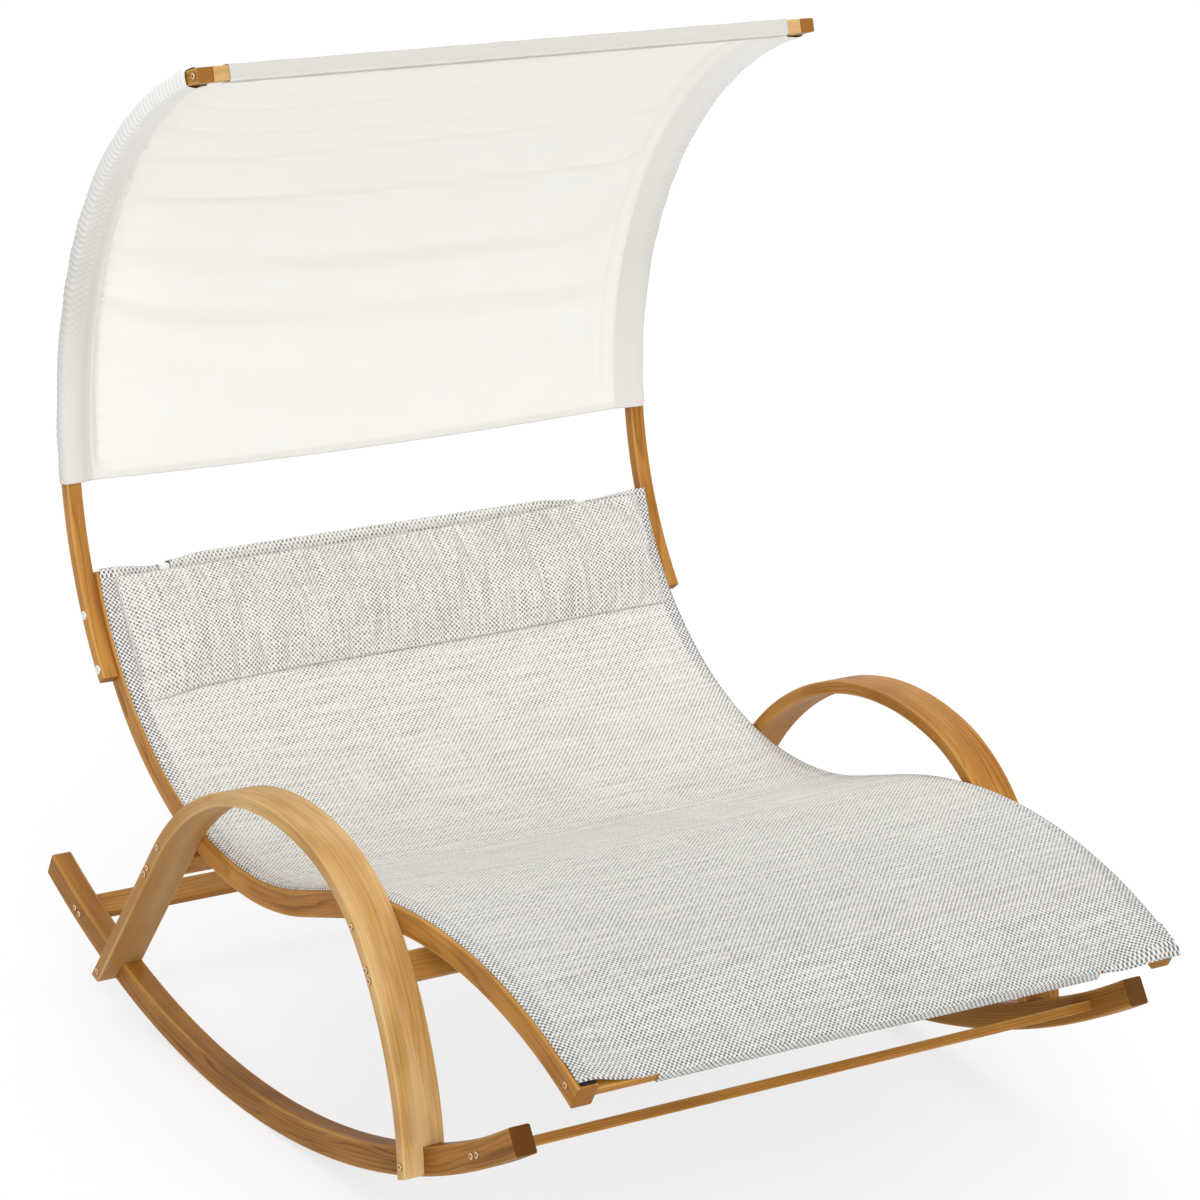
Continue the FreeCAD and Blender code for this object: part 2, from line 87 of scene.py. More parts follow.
def meet(centre_a, radius_a, centre_b, radius_b, towards):
    """The point where two circles cross, on the side given by the sign of towards."""
    gap_y = centre_b[0] - centre_a[0]
    gap_z = centre_b[1] - centre_a[1]
    gap = math.hypot(gap_y, gap_z)
    along = (gap * gap + radius_a ** 2 - radius_b ** 2) / (2 * gap)
    across = math.sqrt(radius_a ** 2 - along ** 2) * towards
    return (centre_a[0] + (along * gap_y - across * gap_z) / gap,
            centre_a[1] + (along * gap_z + across * gap_y) / gap)


def down_to_circle(start, direction, centre, radius):
    """The point where a line that starts inside a circle leaves it."""
    offset = (start[0] - centre[0], start[1] - centre[1])
    lean = offset[0] * direction[0] + offset[1] * direction[1]
    reach = math.sqrt(lean ** 2 - offset[0] ** 2 - offset[1] ** 2 + radius ** 2) - lean
    return moved(start, direction, reach)


def angle_from(centre, point):
    return math.degrees(math.atan2(point[1] - centre[1], point[0] - centre[0]))


def smooth(t):
    t = np.clip(t, 0.0, 1.0)
    return t * t * (3 - 2 * t)


def swell_between(t):
    """0 at both ends of the range from 0 to 1, and 1 in its middle."""
    return math.sin(math.pi * min(1.0, max(0.0, t)))


# Sizes of the lounger
side_plane = 608.0
rocker_centre = (0.0, rocker_radius)
rocker_depth = 50.0
rocker_outer = side_plane + 41.0
rocker_front = -90 - 30.2
rocker_rear = -90 + 29.3
rocker_mid = rocker_radius - rocker_depth / 2

arch_outer = side_plane + 80.0
arch_thickness = 25.0
arch_top_radius = 553.0
arch_shoulder_radius = 355.0
arch_leg_radius = 667.5
arch_top_centre = (-109.1, 626.4 - arch_top_radius)
shoulder_angle = 90 + 17.7
leg_angle = 90 + 53.9
arch_rear_slope = 50.1
rear_angle = 90 - arch_rear_slope
shoulder_centre = moved(arch_top_centre, heading(shoulder_angle), arch_top_radius - arch_shoulder_radius)
leg_centre = moved(shoulder_centre, heading(leg_angle), arch_shoulder_radius - arch_leg_radius)
rear_bend = polar(arch_top_centre, arch_top_radius, rear_angle)
rear_down = heading(-arch_rear_slope)
rear_out = heading(rear_angle)
arch_lap_lift = 3.0

rail_inner = side_plane - 40.0
rail_depth = 48.0
rail_slope = 15.7
rail_straight = 139.0
crest_radius = 986.0
hollow_radius = 620.7
rail_down = heading(-rail_slope)
rail_up = heading(90 - rail_slope)
rail_bend = (-218.5, 485.8)
hollow_start = moved(rail_bend, rail_down, rail_straight)
crest_centre = moved(rail_bend, rail_up, -crest_radius)
hollow_centre = moved(hollow_start, rail_up, hollow_radius)
foot_angle = 90 + 30.9
head_angle = -90 + 71.9
foot_end = polar(crest_centre, crest_radius, foot_angle)
head_end = polar(hollow_centre, hollow_radius, head_angle)
crest_length = math.radians(foot_angle - 90 + rail_slope) * crest_radius
hollow_length = math.radians(head_angle + 90 + rail_slope) * hollow_radius
seat_length = crest_length + rail_straight + hollow_length
crest_middle = crest_radius - rail_depth / 2
hollow_middle = hollow_radius + rail_depth / 2


def at_foot(along, up):
    return moved(moved(foot_end, heading(foot_angle + 90), along), heading(foot_angle), up)


def at_head(along, up):
    return moved(moved(head_end, heading(head_angle + 90), along), heading(head_angle + 180), up)


post_radius = 767.3
post_depth = 26.0
post_outer = side_plane + 30.5
post_mid = post_radius - post_depth / 2
post_bolt_insets = (176.0, 74.0)
post_bolts_at = [polar(hollow_centre, hollow_middle, head_angle - math.degrees(inset / hollow_radius))
                 for inset in post_bolt_insets]
post_centre = meet(post_bolts_at[0], post_mid, post_bolts_at[1], post_mid, 1)
post_foot_angle = -35.4
post_tip_angle = 77.2

batten_width = 52.0
batten_thickness = 18.0
batten_inset = 133.0
beam_drop = 48.0
bar_gap = 4.0
arch_middle = -arch_thickness / 2
leg_middle = arch_leg_radius + arch_middle
rear_middle = moved(rear_bend, rear_out, arch_middle)
front_beam_at = meet(leg_centre, leg_middle, crest_centre, crest_radius - rail_depth - beam_drop, -1)
rear_beam_at = down_to_circle(rear_middle, rear_down, hollow_centre, hollow_radius + rail_depth + beam_drop)
seat_beams = [(front_beam_at, angle_from(leg_centre, front_beam_at) - 90), (rear_beam_at, -arch_rear_slope)]
batten_step = math.degrees(batten_inset / rocker_mid)
rocker_battens = [(polar(rocker_centre, rocker_mid, angle), angle + 90)
                  for angle in (rocker_front + batten_step, rocker_rear - batten_step)]
bar_along = -bar_gap - batten_width / 2
bars = [(at_foot(bar_along, -rail_depth / 2), foot_angle - 90),
        (at_head(bar_along, -rail_depth / 2), head_angle + 90)]
bar_top = -rail_depth / 2 + batten_thickness / 2
bar_low = -rail_depth / 2 - batten_thickness / 2
top_bar_width = 30.0
top_bar_turn = post_tip_angle - math.degrees(top_bar_width / 2 / post_mid)
top_bar_at = polar(post_centre, post_mid, top_bar_turn)

rail_screws_at = [
    meet(shoulder_centre, arch_shoulder_radius + arch_middle, crest_centre, crest_middle, -1),
    meet(arch_top_centre, arch_top_radius + arch_middle, hollow_centre, hollow_middle, -1),
]
foot_screws_at = [
    meet(leg_centre, leg_middle, rocker_centre, rocker_mid, 1),
    down_to_circle(rear_middle, rear_down, rocker_centre, rocker_mid),
]


# Materials
class Shader:
    """A material or a world under construction, with short ways to add its nodes."""

    def __init__(self, owner, surface="BsdfPrincipled", out="OutputMaterial"):
        self.owner = owner
        owner.use_nodes = True
        self.tree = owner.node_tree
        self.tree.nodes.clear()
        self.out = self.node(out)
        self.surface = self.node(surface)
        self.set(self.out, "Surface", self.surface.outputs[0])

    def set(self, node, socket, value):
        if isinstance(value, bpy.types.NodeSocket):
            self.tree.links.new(value, node.inputs[socket])
        else:
            node.inputs[socket].default_value = value

    def node(self, kind, inputs=None, **settings):
        """A new node with its settings, and its inputs by name or number."""
        node = self.tree.nodes.new("ShaderNode" + kind)
        for name, value in settings.items():
            setattr(node, name, value)
        for socket, value in (inputs or {}).items():
            self.set(node, socket, value)
        return node

    def finish(self, values):
        for socket, value in values.items():
            self.set(self.surface, socket, value)
        return self.owner

    def over(self, factor, first, second):
        """Show a mix of two shaders."""
        blend = self.node("MixShader", {0: factor, 1: first.outputs[0], 2: second.outputs[0]})
        self.set(self.out, "Surface", blend.outputs[0])

    def attribute(self, name, output="Vector"):
        return self.node("Attribute", attribute_name=name).outputs[output]

    def place(self):
        return self.node("TexCoord").outputs["Object"]

    def split(self, vector):
        return tuple(self.node("SeparateXYZ", {0: vector}).outputs)

    def join(self, *parts):
        return self.node("CombineXYZ", dict(enumerate(parts))).outputs[0]

    def math(self, operation, *values):
        return self.node("Math", dict(enumerate(values)), operation=operation).outputs[0]

    def times(self, *values):
        return functools.reduce(lambda a, b: self.math("MULTIPLY", a, b), values)

    def plus(self, *values):
        return functools.reduce(lambda a, b: self.math("ADD", a, b), values)

    def scaled(self, value, factor, shift):
        return self.math("MULTIPLY_ADD", value, factor, shift)

    def noise(self, vector, scale, detail=2.0, roughness=0.5):
        inputs = {"Vector": vector, "Scale": scale, "Detail": detail, "Roughness": roughness}
        return self.node("TexNoise", inputs).outputs["Fac"]

    def streaks(self, parts, scales, detail=3.0, roughness=0.6):
        """Noise with a scale of its own along each part of a place."""
        return self.noise(self.join(*map(self.times, parts, scales)), 1.0, detail, roughness)

    def rings(self, vector, scale, distortion):
        inputs = {"Vector": vector, "Scale": scale, "Distortion": distortion,
                  "Detail": 1.0, "Detail Scale": 0.6}
        node = self.node("TexWave", inputs, wave_type="RINGS", rings_direction="X", wave_profile="SAW")
        return node.outputs["Fac"]

    def ramp(self, factor, stops):
        node = self.node("ValToRGB", {0: factor})
        band = node.color_ramp
        while len(band.elements) < len(stops):
            band.elements.new(0.5)
        for element, (place, colour) in zip(band.elements, stops):
            element.position = place
            element.color = (*colour, 1.0)
        return node.outputs["Color"]

    def range(self, value, low, high, to_low, to_high):
        inputs = {"Value": value, "From Min": low, "From Max": high, "To Min": to_low, "To Max": to_high}
        return self.node("MapRange", inputs).outputs["Result"]

    def mix(self, factor, a, b, blend="MIX"):
        first, second = (c if isinstance(c, bpy.types.NodeSocket) else (*c, 1.0) for c in (a, b))
        inputs = {0: factor, 6: first, 7: second}
        return self.node("Mix", inputs, data_type="RGBA", blend_type=blend).outputs[2]

    def bump(self, height, strength, distance):
        node = self.node("Bump", {"Height": height, "Strength": strength, "Distance": distance})
        self.set(self.surface, "Normal", node.outputs[0])

    def background_rays(self):
        """1 for rays that show the background: straight from the camera, or by way of metal or glass."""
        rays = self.node("LightPath").outputs
        shown = rays["Is Camera Ray"]
        for name in ("Is Glossy Ray", "Is Transmission Ray"):
            shown = self.math("MAXIMUM", shown, rays[name])
        return shown


def new_shader(name):
    return Shader(bpy.data.materials.new(name))


def between(first, second, share):
    """The colour that lies a share of the way from one colour to another."""
    return tuple((1 - share) * a + share * b for a, b in zip(first, second))


def dimmed(colour, share):
    return tuple(share * c for c in colour)


def wood_material(name, early, late, pale, deep, edge_highlight, sawn_tone, figure, painted_shade_until=None):
    """Oiled softwood: growth rings round a pith beside the piece, fibres along it, slow changes of tone.

    Rounded edges are painted paler as a highlight, more in some places than others, and sawn ends drink more
    oil and are darker."""
    s = new_shader(name)
    grain = s.split(s.attribute("grain"))
    along, out, across = grain
    drift = s.scaled(s.streaks(grain, (1.7, 16.0, 16.0), 2.0, 0.5), 0.034, -0.017)
    rings = s.rings(s.join(s.times(along, 0.012), s.plus(out, drift), s.plus(across, drift)), 64.0, figure)
    fibre = s.streaks(grain, (8.0, 380.0, 380.0))
    tone = s.streaks(grain, (3.2, 24.0, 24.0), 3.0, 0.5)
    patch = s.streaks(grain, (5.0, 9.0, 9.0), 2.0, 0.5)
    colour = s.ramp(rings, [(0.0, early), (0.60, between(early, late, 0.2)), (0.90, late),
                            (1.0, between(early, late, 0.45))])
    for mark, low, high, most, tint in ((fibre, 0.40, 0.75, 0.55, deep), (tone, 0.38, 0.70, 0.60, pale),
                                        (patch, 0.50, 0.74, 0.45, deep)):
        colour = s.mix(s.range(mark, low, high, 0.0, most), colour, tint)
    # Painted shade: the piece is darker from the start of its grain up to painted_shade_until, which darkens
    # the rear leg of the left arch.
    if painted_shade_until:
        colour = s.mix(s.range(along, painted_shade_until - 0.35, painted_shade_until, 0.60, 0.0), colour, deep)
    # Painted highlight: the rounded edges are paler, by an amount that varies with the tone streaks.
    tone_and_painted_light = s.times(s.attribute("rim", "Fac"), s.range(tone, 0.30, 0.65, 0.15, 0.60))
    colour = s.mix(tone_and_painted_light, colour, edge_highlight)
    colour = s.mix(s.times(s.attribute("sawn_end", "Fac"), 0.90), colour, sawn_tone)
    s.bump(s.scaled(fibre, 0.8, s.times(rings, 0.3)), 0.30, 0.0005)
    return s.finish({"Base Color": colour, "Roughness": s.range(fibre, 0.3, 0.8, 0.44, 0.60),
                     "Specular IOR Level": 0.16})


def weave_material(name, pale, dark, coverage, pitch, upright=False):
    """Coarse flecked weave: pale yarns cross on both slants, with dark flecks between them.

    Upright cloth has its thick yarns up the piece. Other cloth changes along its length, like the sling, with
    painted light: darker towards the foot and lighter in the middle of the seat."""
    s = new_shader(name)
    u, v, hem = s.split(s.attribute("weave"))

    def yarns(place, spacing, layer):
        wander = s.scaled(s.noise(s.join(u, v, layer), 60.0), 1.6, -0.8)
        turn = s.scaled(place, 2 * math.pi / (spacing * pitch), wander)
        return s.scaled(s.math("COSINE", turn), 0.5, 0.5)

    rib = yarns(s.math("SUBTRACT", u, v), 1.025, 0.0)
    cross = yarns(s.plus(u, v), 0.975, 5.0)
    gap = s.scaled(s.times(rib, cross), 0.40, s.times(s.plus(rib, cross), 0.30))
    gap = s.range(gap, 0.18, 0.88, 0.0, 1.0)
    run, step = (v, u) if upright else (u, v)

    def threads(along_run, along_step, layer):
        return s.noise(s.join(s.times(run, along_run), s.times(step, along_step), layer), 1.0, 3.0, 0.6)

    slub = threads(7.0, 270.0 if upright else 150.0, 0.0)
    warp = threads(150.0, 7.0, 3.0)
    fleck = s.noise(s.join(run, step, 7.0), 120.0, 2.0, 0.7)
    shade = s.mix(s.range(slub, 0.35, 0.70, 0.0, 0.30), pale, dimmed(pale, 0.86))
    # hem is the denser weave of the doubled side hems, with painted shade from the pillow added towards the
    # head.
    depth = s.scaled(hem, 0.60, coverage)
    for mark, share in ((slub, 0.65 if upright else 0.45), (warp, 0.25), (fleck, 0.55)):
        depth = s.times(depth, s.range(mark, 0.3, 0.7, 1.0 - share, 1.0 + share))
    # Painted light along the cloth: at the foot the flecks are deeper and the pale yarn darker as painted
    # shade, and in the middle of the seat the pale yarn is lighter as a painted lift of the shade there. The
    # coarse streaks in the seat only vary the flecks.
    if not upright:
        along = s.plus(s.range(v, 0.05, 0.40, 0.43, 0.0), s.range(v, 0.45, 0.95, 0.90, 0.86),
                       s.range(v, 1.15, 1.50, 0.0, -0.05))
        tone = s.plus(s.range(v, 0.05, 0.40, -0.03, 0.0), s.range(v, 0.40, 0.80, 0.912, 1.085),
                      s.range(v, 0.90, 1.50, 0.0, -0.08))
        shade = s.mix(1.0, shade, s.join(tone, tone, tone), "MULTIPLY")
        seat = s.times(s.range(v, 0.60, 0.80, 0.1, 1.0), s.range(v, 1.00, 1.20, 1.0, 0.1))
        coarse = s.range(threads(4.0, 60.0, 11.0), 0.3, 0.7, -0.50, 0.50)
        depth = s.times(depth, along, s.plus(s.times(coarse, seat), 1.0))
    s.bump(s.math("SUBTRACT", 1.0, gap), 0.45, 0.0012)
    colour = s.mix(s.math("MINIMUM", s.times(gap, depth), 1.0), shade, dark)
    return s.finish({"Base Color": colour, "Roughness": 0.85, "Specular IOR Level": 0.22,
                     "Sheen Weight": 0.10, "Sheen Roughness": 0.5})


def canopy_material():
    """Thin plain cloth: a fine close weave, with some light coming through from behind.

    layers_and_shade is 0 on the plain panel and rises where the cloth is doubled; over 1.2, on the pocket
    round the top bar, it also paints shade on the tube. Below 0 it is a sleeve round a post, which lets no
    light through and has painted shade, deeper the lower it is and in its pleats."""
    s = new_shader("canopy_cloth_cream")
    u, v, layers_and_shade = s.split(s.attribute("weave"))
    thread = 2 * math.pi / 0.0016
    threads = s.times(s.math("SINE", s.times(u, thread)), s.math("SINE", s.times(v, thread)))
    mottle = s.noise(s.join(u, v, 0.0), 9.0, 3.0)
    colour = s.mix(s.range(mottle, 0.3, 0.7, 0.0, 1.0), (0.922, 0.914, 0.888), (0.930, 0.923, 0.900))
    colour = s.mix(s.range(threads, -1.0, 1.0, 0.0, 0.06), colour, (0.70, 0.68, 0.63))
    doubled = s.math("MINIMUM", s.math("MAXIMUM", s.times(layers_and_shade, 0.44), 0.0), 1.0)
    colour = s.mix(doubled, colour, (0.700, 0.682, 0.636))
    # Painted shade: on the pocket's tube, and on the sleeves, more the lower they lie and in their pleats.
    painted_shade = s.math("MAXIMUM", s.range(layers_and_shade, 1.2, 2.2, 0.0, 1.0), s.range(layers_and_shade, -0.3, -1.3, 0.0, 1.0))
    colour = s.mix(painted_shade, colour, (0.600, 0.585, 0.545))
    s.bump(threads, 0.15, 0.0003)
    thin = s.math("MINIMUM", s.scaled(layers_and_shade, -0.40, 0.55), s.scaled(layers_and_shade, 2.0, 0.55))
    s.over(s.math("MAXIMUM", thin, 0.0), s.surface, s.node("BsdfTranslucent", {"Color": colour}))
    return s.finish({"Base Color": colour, "Roughness": 0.9, "Specular IOR Level": 0.15})


def webbing_material():
    """White webbing with fine ribs and a faint chevron."""
    s = new_shader("white_webbing")
    u, v = s.split(s.attribute("weave"))[:2]
    ribs = s.math("SINE", s.times(v, 2 * math.pi / 0.0014))
    chevron = s.math("SINE", s.times(s.plus(v, s.math("ABSOLUTE", u)), 2 * math.pi / 0.004))
    colour = s.mix(s.range(chevron, -1.0, 1.0, 0.0, 1.0), (0.80, 0.79, 0.76), (0.88, 0.87, 0.85))
    s.bump(ribs, 0.4, 0.0004)
    return s.finish({"Base Color": colour, "Roughness": 0.8})


def metal_material(name, colour, dull, roughness):
    """Turned metal: fine scratches and a little tarnish in the colour and the gloss, with painted shade round
    the rims.
    """
    s = new_shader(name)
    place = s.place()
    marks = s.noise(place, 900.0, 3.0, 0.7)
    stain = s.noise(place, 160.0, 3.0)
    tone_and_painted_light = s.mix(s.range(stain, 0.4, 0.75, 0.0, 0.7), colour, dull)
    # Painted shade: darker where the rim attribute is set.
    tone_and_painted_light = s.mix(s.attribute("rim", "Fac"), tone_and_painted_light, dimmed(dull, 0.18))
    s.bump(marks, 0.08, 0.0002)
    return s.finish({"Base Color": tone_and_painted_light, "Metallic": 1.0,
                     "Roughness": s.range(marks, 0.3, 0.7, roughness - 0.08, roughness + 0.12)})


def strip_material():
    s = new_shader("black_strip")
    grain = s.noise(s.place(), 700.0)
    colour = s.mix(s.range(grain, 0.3, 0.7, 0.0, 1.0), (0.006, 0.006, 0.007), (0.018, 0.018, 0.018))
    s.bump(grain, 0.2, 0.0003)
    return s.finish({"Base Color": colour, "Roughness": 0.75, "Specular IOR Level": 0.15})


wood = wood_material(
    "oiled_wood", early=(0.465, 0.206, 0.036), late=(0.245, 0.087, 0.010), pale=(0.570, 0.288, 0.068),
    deep=(0.200, 0.068, 0.008), edge_highlight=(0.640, 0.350, 0.098), sawn_tone=(0.270, 0.105, 0.014), figure=1.7)
# Painted shade: a darker copy of the oiled wood, used for the rockers because their sides lie in shade.
shade_darkened_wood = wood_material(
    "oiled_wood_shade_darkened", early=(0.355, 0.149, 0.022), late=(0.140, 0.045, 0.004), pale=(0.440, 0.206, 0.040),
    deep=(0.140, 0.046, 0.005), edge_highlight=(0.560, 0.300, 0.080), sawn_tone=(0.088, 0.026, 0.000), figure=2.4)
pale_wood = wood_material(
    "oiled_wood_pale", early=(0.580, 0.332, 0.106), late=(0.465, 0.236, 0.062), pale=(0.760, 0.545, 0.285),
    deep=(0.300, 0.126, 0.026), edge_highlight=(0.700, 0.450, 0.180), sawn_tone=(0.330, 0.145, 0.026), figure=1.7,
    painted_shade_until=4.80)
sling_weave = weave_material(
    "sling_weave_pale", (0.830, 0.813, 0.766), (0.140, 0.143, 0.148), coverage=0.95, pitch=0.0090)
pillow_weave = weave_material(
    "pillow_weave_pale", (0.815, 0.798, 0.752), (0.145, 0.147, 0.150), coverage=1.00, pitch=0.0088,
    upright=True)
canopy_cloth = canopy_material()
webbing = webbing_material()
brass = metal_material("brass_screws_satin", (0.80, 0.52, 0.30), (0.46, 0.25, 0.11), 0.40)
steel = metal_material("steel_bolts_bright", (0.78, 0.78, 0.77), (0.55, 0.55, 0.54), 0.24)
strip_black = strip_material()


# Meshes
def store(mesh, name, kind, domain, values):
    """Keep a number or a vector for each point or face of a mesh."""
    layer = mesh.attributes.new(name, kind, domain)
    key = "vector" if kind == "FLOAT_VECTOR" else "value"
    layer.data.foreach_set(key, np.asarray(values, np.float32).ravel())


def make_piece(name, points, faces, material, vectors=None, attribute="grain", crease=35.0, rims=None,
               sawn=()):
    mesh = bpy.data.meshes.new(name)
    mesh.from_pydata([tuple(point) for point in to_row(points)], [], [tuple(face) for face in faces])
    if vectors is not None:
        store(mesh, attribute, "FLOAT_VECTOR", "POINT", vectors)
    if rims is not None:
        ends = np.zeros(len(faces))
        ends[list(sawn)] = 1.0
        store(mesh, "rim", "FLOAT", "POINT", rims)
        store(mesh, "sawn_end", "FLOAT", "FACE", ends)
    work = bmesh.new()
    work.from_mesh(mesh)
    bmesh.ops.recalc_face_normals(work, faces=work.faces)
    work.to_mesh(mesh)
    work.free()
    mesh.shade_smooth()
    mesh.set_sharp_from_angle(angle=math.radians(crease))
    mesh.materials.append(material)
    piece = bpy.data.objects.new(name, mesh)
    scene.collection.objects.link(piece)
    return piece


def make_sheet(name, points, faces, material, vectors, thickness):
    """A piece of cloth drawn as its middle surface, with its thickness in metres."""
    piece = make_piece(name, points, faces, material, vectors, "weave", crease=80.0)
    body = piece.modifiers.new("cloth", "SOLIDIFY")
    body.thickness = thickness
    body.offset = 0.0
    return piece


def add_piece(piece, slot, *nodes):
    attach(piece, "lounger")
    if nodes:
        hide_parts(*nodes)


path_step = 14.0


def walk(path):
    """Stations along a path of arcs and straights: a place, the way out of the curve and the distance."""
    stations = []
    done = 0.0
    for stretch in path:
        straight = len(stretch) == 3
        if straight:
            start, end, out = stretch
            length = math.dist(start, end)
        else:
            centre, radius, first, last, side = stretch
            length = math.radians(abs(last - first)) * radius
        count = max(2, math.ceil(length / path_step))
        for i in range(1 if stations else 0, count + 1):
            if straight:
                place = moved(start, (end[0] - start[0], end[1] - start[1]), i / count)
            else:
                angle = first + (last - first) * i / count
                place = polar(centre, radius, angle)
                out = moved((0.0, 0.0), heading(angle), side)
            stations.append((place, out, done + length * i / count))
        done += length
    return stations


def rounded_section(low, high, x_from, x_to, radius, columns=()):
    """A rectangle with rounded corners, as (offset, x, rim) in order round it. rim is 1 on the corners."""
    ring = []
    steps = 4
    inset = 2.2
    corners = ((x_to - radius, high - radius), (x_from + radius, high - radius),
               (x_from + radius, low + radius), (x_to - radius, low + radius))
    for k, (x, n) in enumerate(corners):
        for i in range(steps + 1):
            turn = math.radians(90 * k + 90 * i / steps)
            place = (n + radius * math.sin(turn), x + radius * math.cos(turn))
            beside = (inset * math.cos(turn), -inset * math.sin(turn))
            if i == 0:
                ring.append((place[0] - beside[0], place[1] - beside[1], 0.0))
            ring.append((*place, 0.5 if i in (0, steps) else 1.0))
            if i == steps:
                ring.append((place[0] + beside[0], place[1] + beside[1], 0.0))
        if k == 0:
            ring += [(high, column, 0.0) for column in sorted(columns, reverse=True)]
        if k == 2:
            ring += [(low, column, 0.0) for column in sorted(columns)]
    return ring


def bridge(first, second, count):
    return [(first + i, first + (i + 1) % count, second + (i + 1) % count, second + i) for i in range(count)]


def ease_ends(piece, width):
    """Round the sawn ends a little. The long edges are round already."""
    bevel = piece.modifiers.new("ends", "BEVEL")
    bevel.limit_method = "ANGLE"
    bevel.angle_limit = math.radians(50)
    bevel.width = width / 1000
    bevel.segments = 2
    bevel.harden_normals = True


# Each plank has its own place in the tree, so that no two have the same grain
plank_step = 1.37


def grain_of(along, offset, x, seed):
    """Where a point of a side piece lies in its plank, in metres."""
    return (along / 1000 + plank_step * seed, offset / 1000 + 0.045 + 0.011 * (seed % 5),
            abs(x) / 1000 - 0.62 + 0.013 * (seed % 7))


def bar_grain_of(x, offset, across, seed):
    """Where a point of a cross bar lies in its plank, in metres."""
    return (x / 1000 + plank_step * seed, offset / 1000 + 0.03 + 0.012 * (seed % 5),
            across / 1000 + 0.02 * (seed % 3))


def swept(name, stations, section, place_of, grain_at, material):
    """A bar with one section at all its stations, and two sawn ends."""
    count = len(section)
    spots = [(station, n, w) for station in stations for n, w, rim in section]
    points = [place_of(*spot) for spot in spots]
    vectors = [grain_at(*spot) for spot in spots]
    rims = [rim for n, w, rim in section] * len(stations)
    faces = []
    for k in range(len(stations) - 1):
        faces += bridge(k * count, (k + 1) * count, count)
    faces += [range(count), range(len(points) - count, len(points))]
    return make_piece(name, points, faces, material, vectors, rims=rims, sawn=(-2, -1))


def bent_bar(name, path, depth, x_from, x_to, radius, side, seed, material):
    """A bar that lies on the inner side of its path, between two planes of X."""
    def place_of(station, n, x):
        return (x * side, *moved(station[0], station[1], n))

    def grain_at(station, n, x):
        return grain_of(station[2], n, x, seed)

    section = rounded_section(-depth, 0.0, x_from, x_to, radius)
    return swept(name, walk(path), section, place_of, grain_at, material)


def cross_bar(name, place, angle, width, thickness, half_length, seed, material):
    """A straight plank across the lounger, with its width lying along an angle."""
    along, out = heading(angle), heading(angle + 90)

    def place_of(x, n, w):
        return (x, *moved(moved(place, along, w), out, n))

    def grain_at(x, n, w):
        return bar_grain_of(x, n, w, seed)

    section = rounded_section(-thickness / 2, thickness / 2, -width / 2, width / 2, 2.5)
    return swept(name, np.linspace(-half_length, half_length, 49), section, place_of, grain_at, material)


def arm_arch(name, side, seed, material):
    """Bent wood whose feet are notched: the inner half stands on the rocker and the outer half laps it."""
    section = rounded_section(-arch_thickness, 0.0, side_plane, arch_outer, 3.0, columns=(rocker_outer,))
    count = len(section)
    points, vectors, rims, faces, sawn = [], [], [], [], []

    def rear_at(n, circle):
        return down_to_circle(moved(rear_bend, rear_out, n), rear_down, rocker_centre, circle)

    def front_at(n, circle):
        return meet(leg_centre, arch_leg_radius + n, rocker_centre, circle, 1)

    def add_ring(place_of, ring, along):
        start = len(points)
        for n, x, rim in ring:
            points.append((x * side, *place_of(n)))
            vectors.append(grain_of(along, n, x, seed))
            rims.append(rim)
        return start

    stand = rocker_radius - rocker_depth
    lap = rocker_radius - arch_lap_lift
    low_rear = min(math.dist(rear_at(n, stand), moved(rear_bend, rear_out, n)) for n, x, rim in section)
    low_front = min(angle_from(leg_centre, front_at(n, stand)) % 360 for n, x, rim in section)
    stations = walk([
        (moved(rear_bend, rear_down, low_rear - 8.0), rear_bend, rear_out),
        (arch_top_centre, arch_top_radius, rear_angle, shoulder_angle, 1),
        (shoulder_centre, arch_shoulder_radius, shoulder_angle, leg_angle, 1),
        (leg_centre, arch_leg_radius, leg_angle, low_front - 0.8, 1),
    ])
    arch_length = stations[-1][2]
    starts = [add_ring(lambda n: rear_at(n, stand), section, -20.0)]
    for place, out, distance in stations:
        starts.append(add_ring(functools.partial(moved, place, out), section, distance))
    starts.append(add_ring(lambda n: front_at(n, stand), section, arch_length + 20.0))
    for first, second in zip(starts, starts[1:]):
        faces += bridge(first, second, count)
    top_column, low_column = (i for i, (n, x, rim) in enumerate(section) if x == rocker_outer)
    inner = list(range(top_column, low_column + 1))
    outer = list(range(low_column, count)) + list(range(0, top_column + 1))
    for start, place_of, along in ((starts[0], lambda n: rear_at(n, lap), -70.0),
                                   (starts[-1], lambda n: front_at(n, lap), arch_length + 70.0)):
        sawn.append(len(faces))
        faces.append([start + i for i in inner])
        foot = add_ring(place_of, [section[i] for i in outer], along)
        for i in range(len(outer)):
            j = (i + 1) % len(outer)
            faces.append((start + outer[i], start + outer[j], foot + j, foot + i))
        sawn.append(len(faces))
        faces.append(range(foot, foot + len(outer)))
    return make_piece(name, points, faces, material, vectors, rims=rims, sawn=sawn)


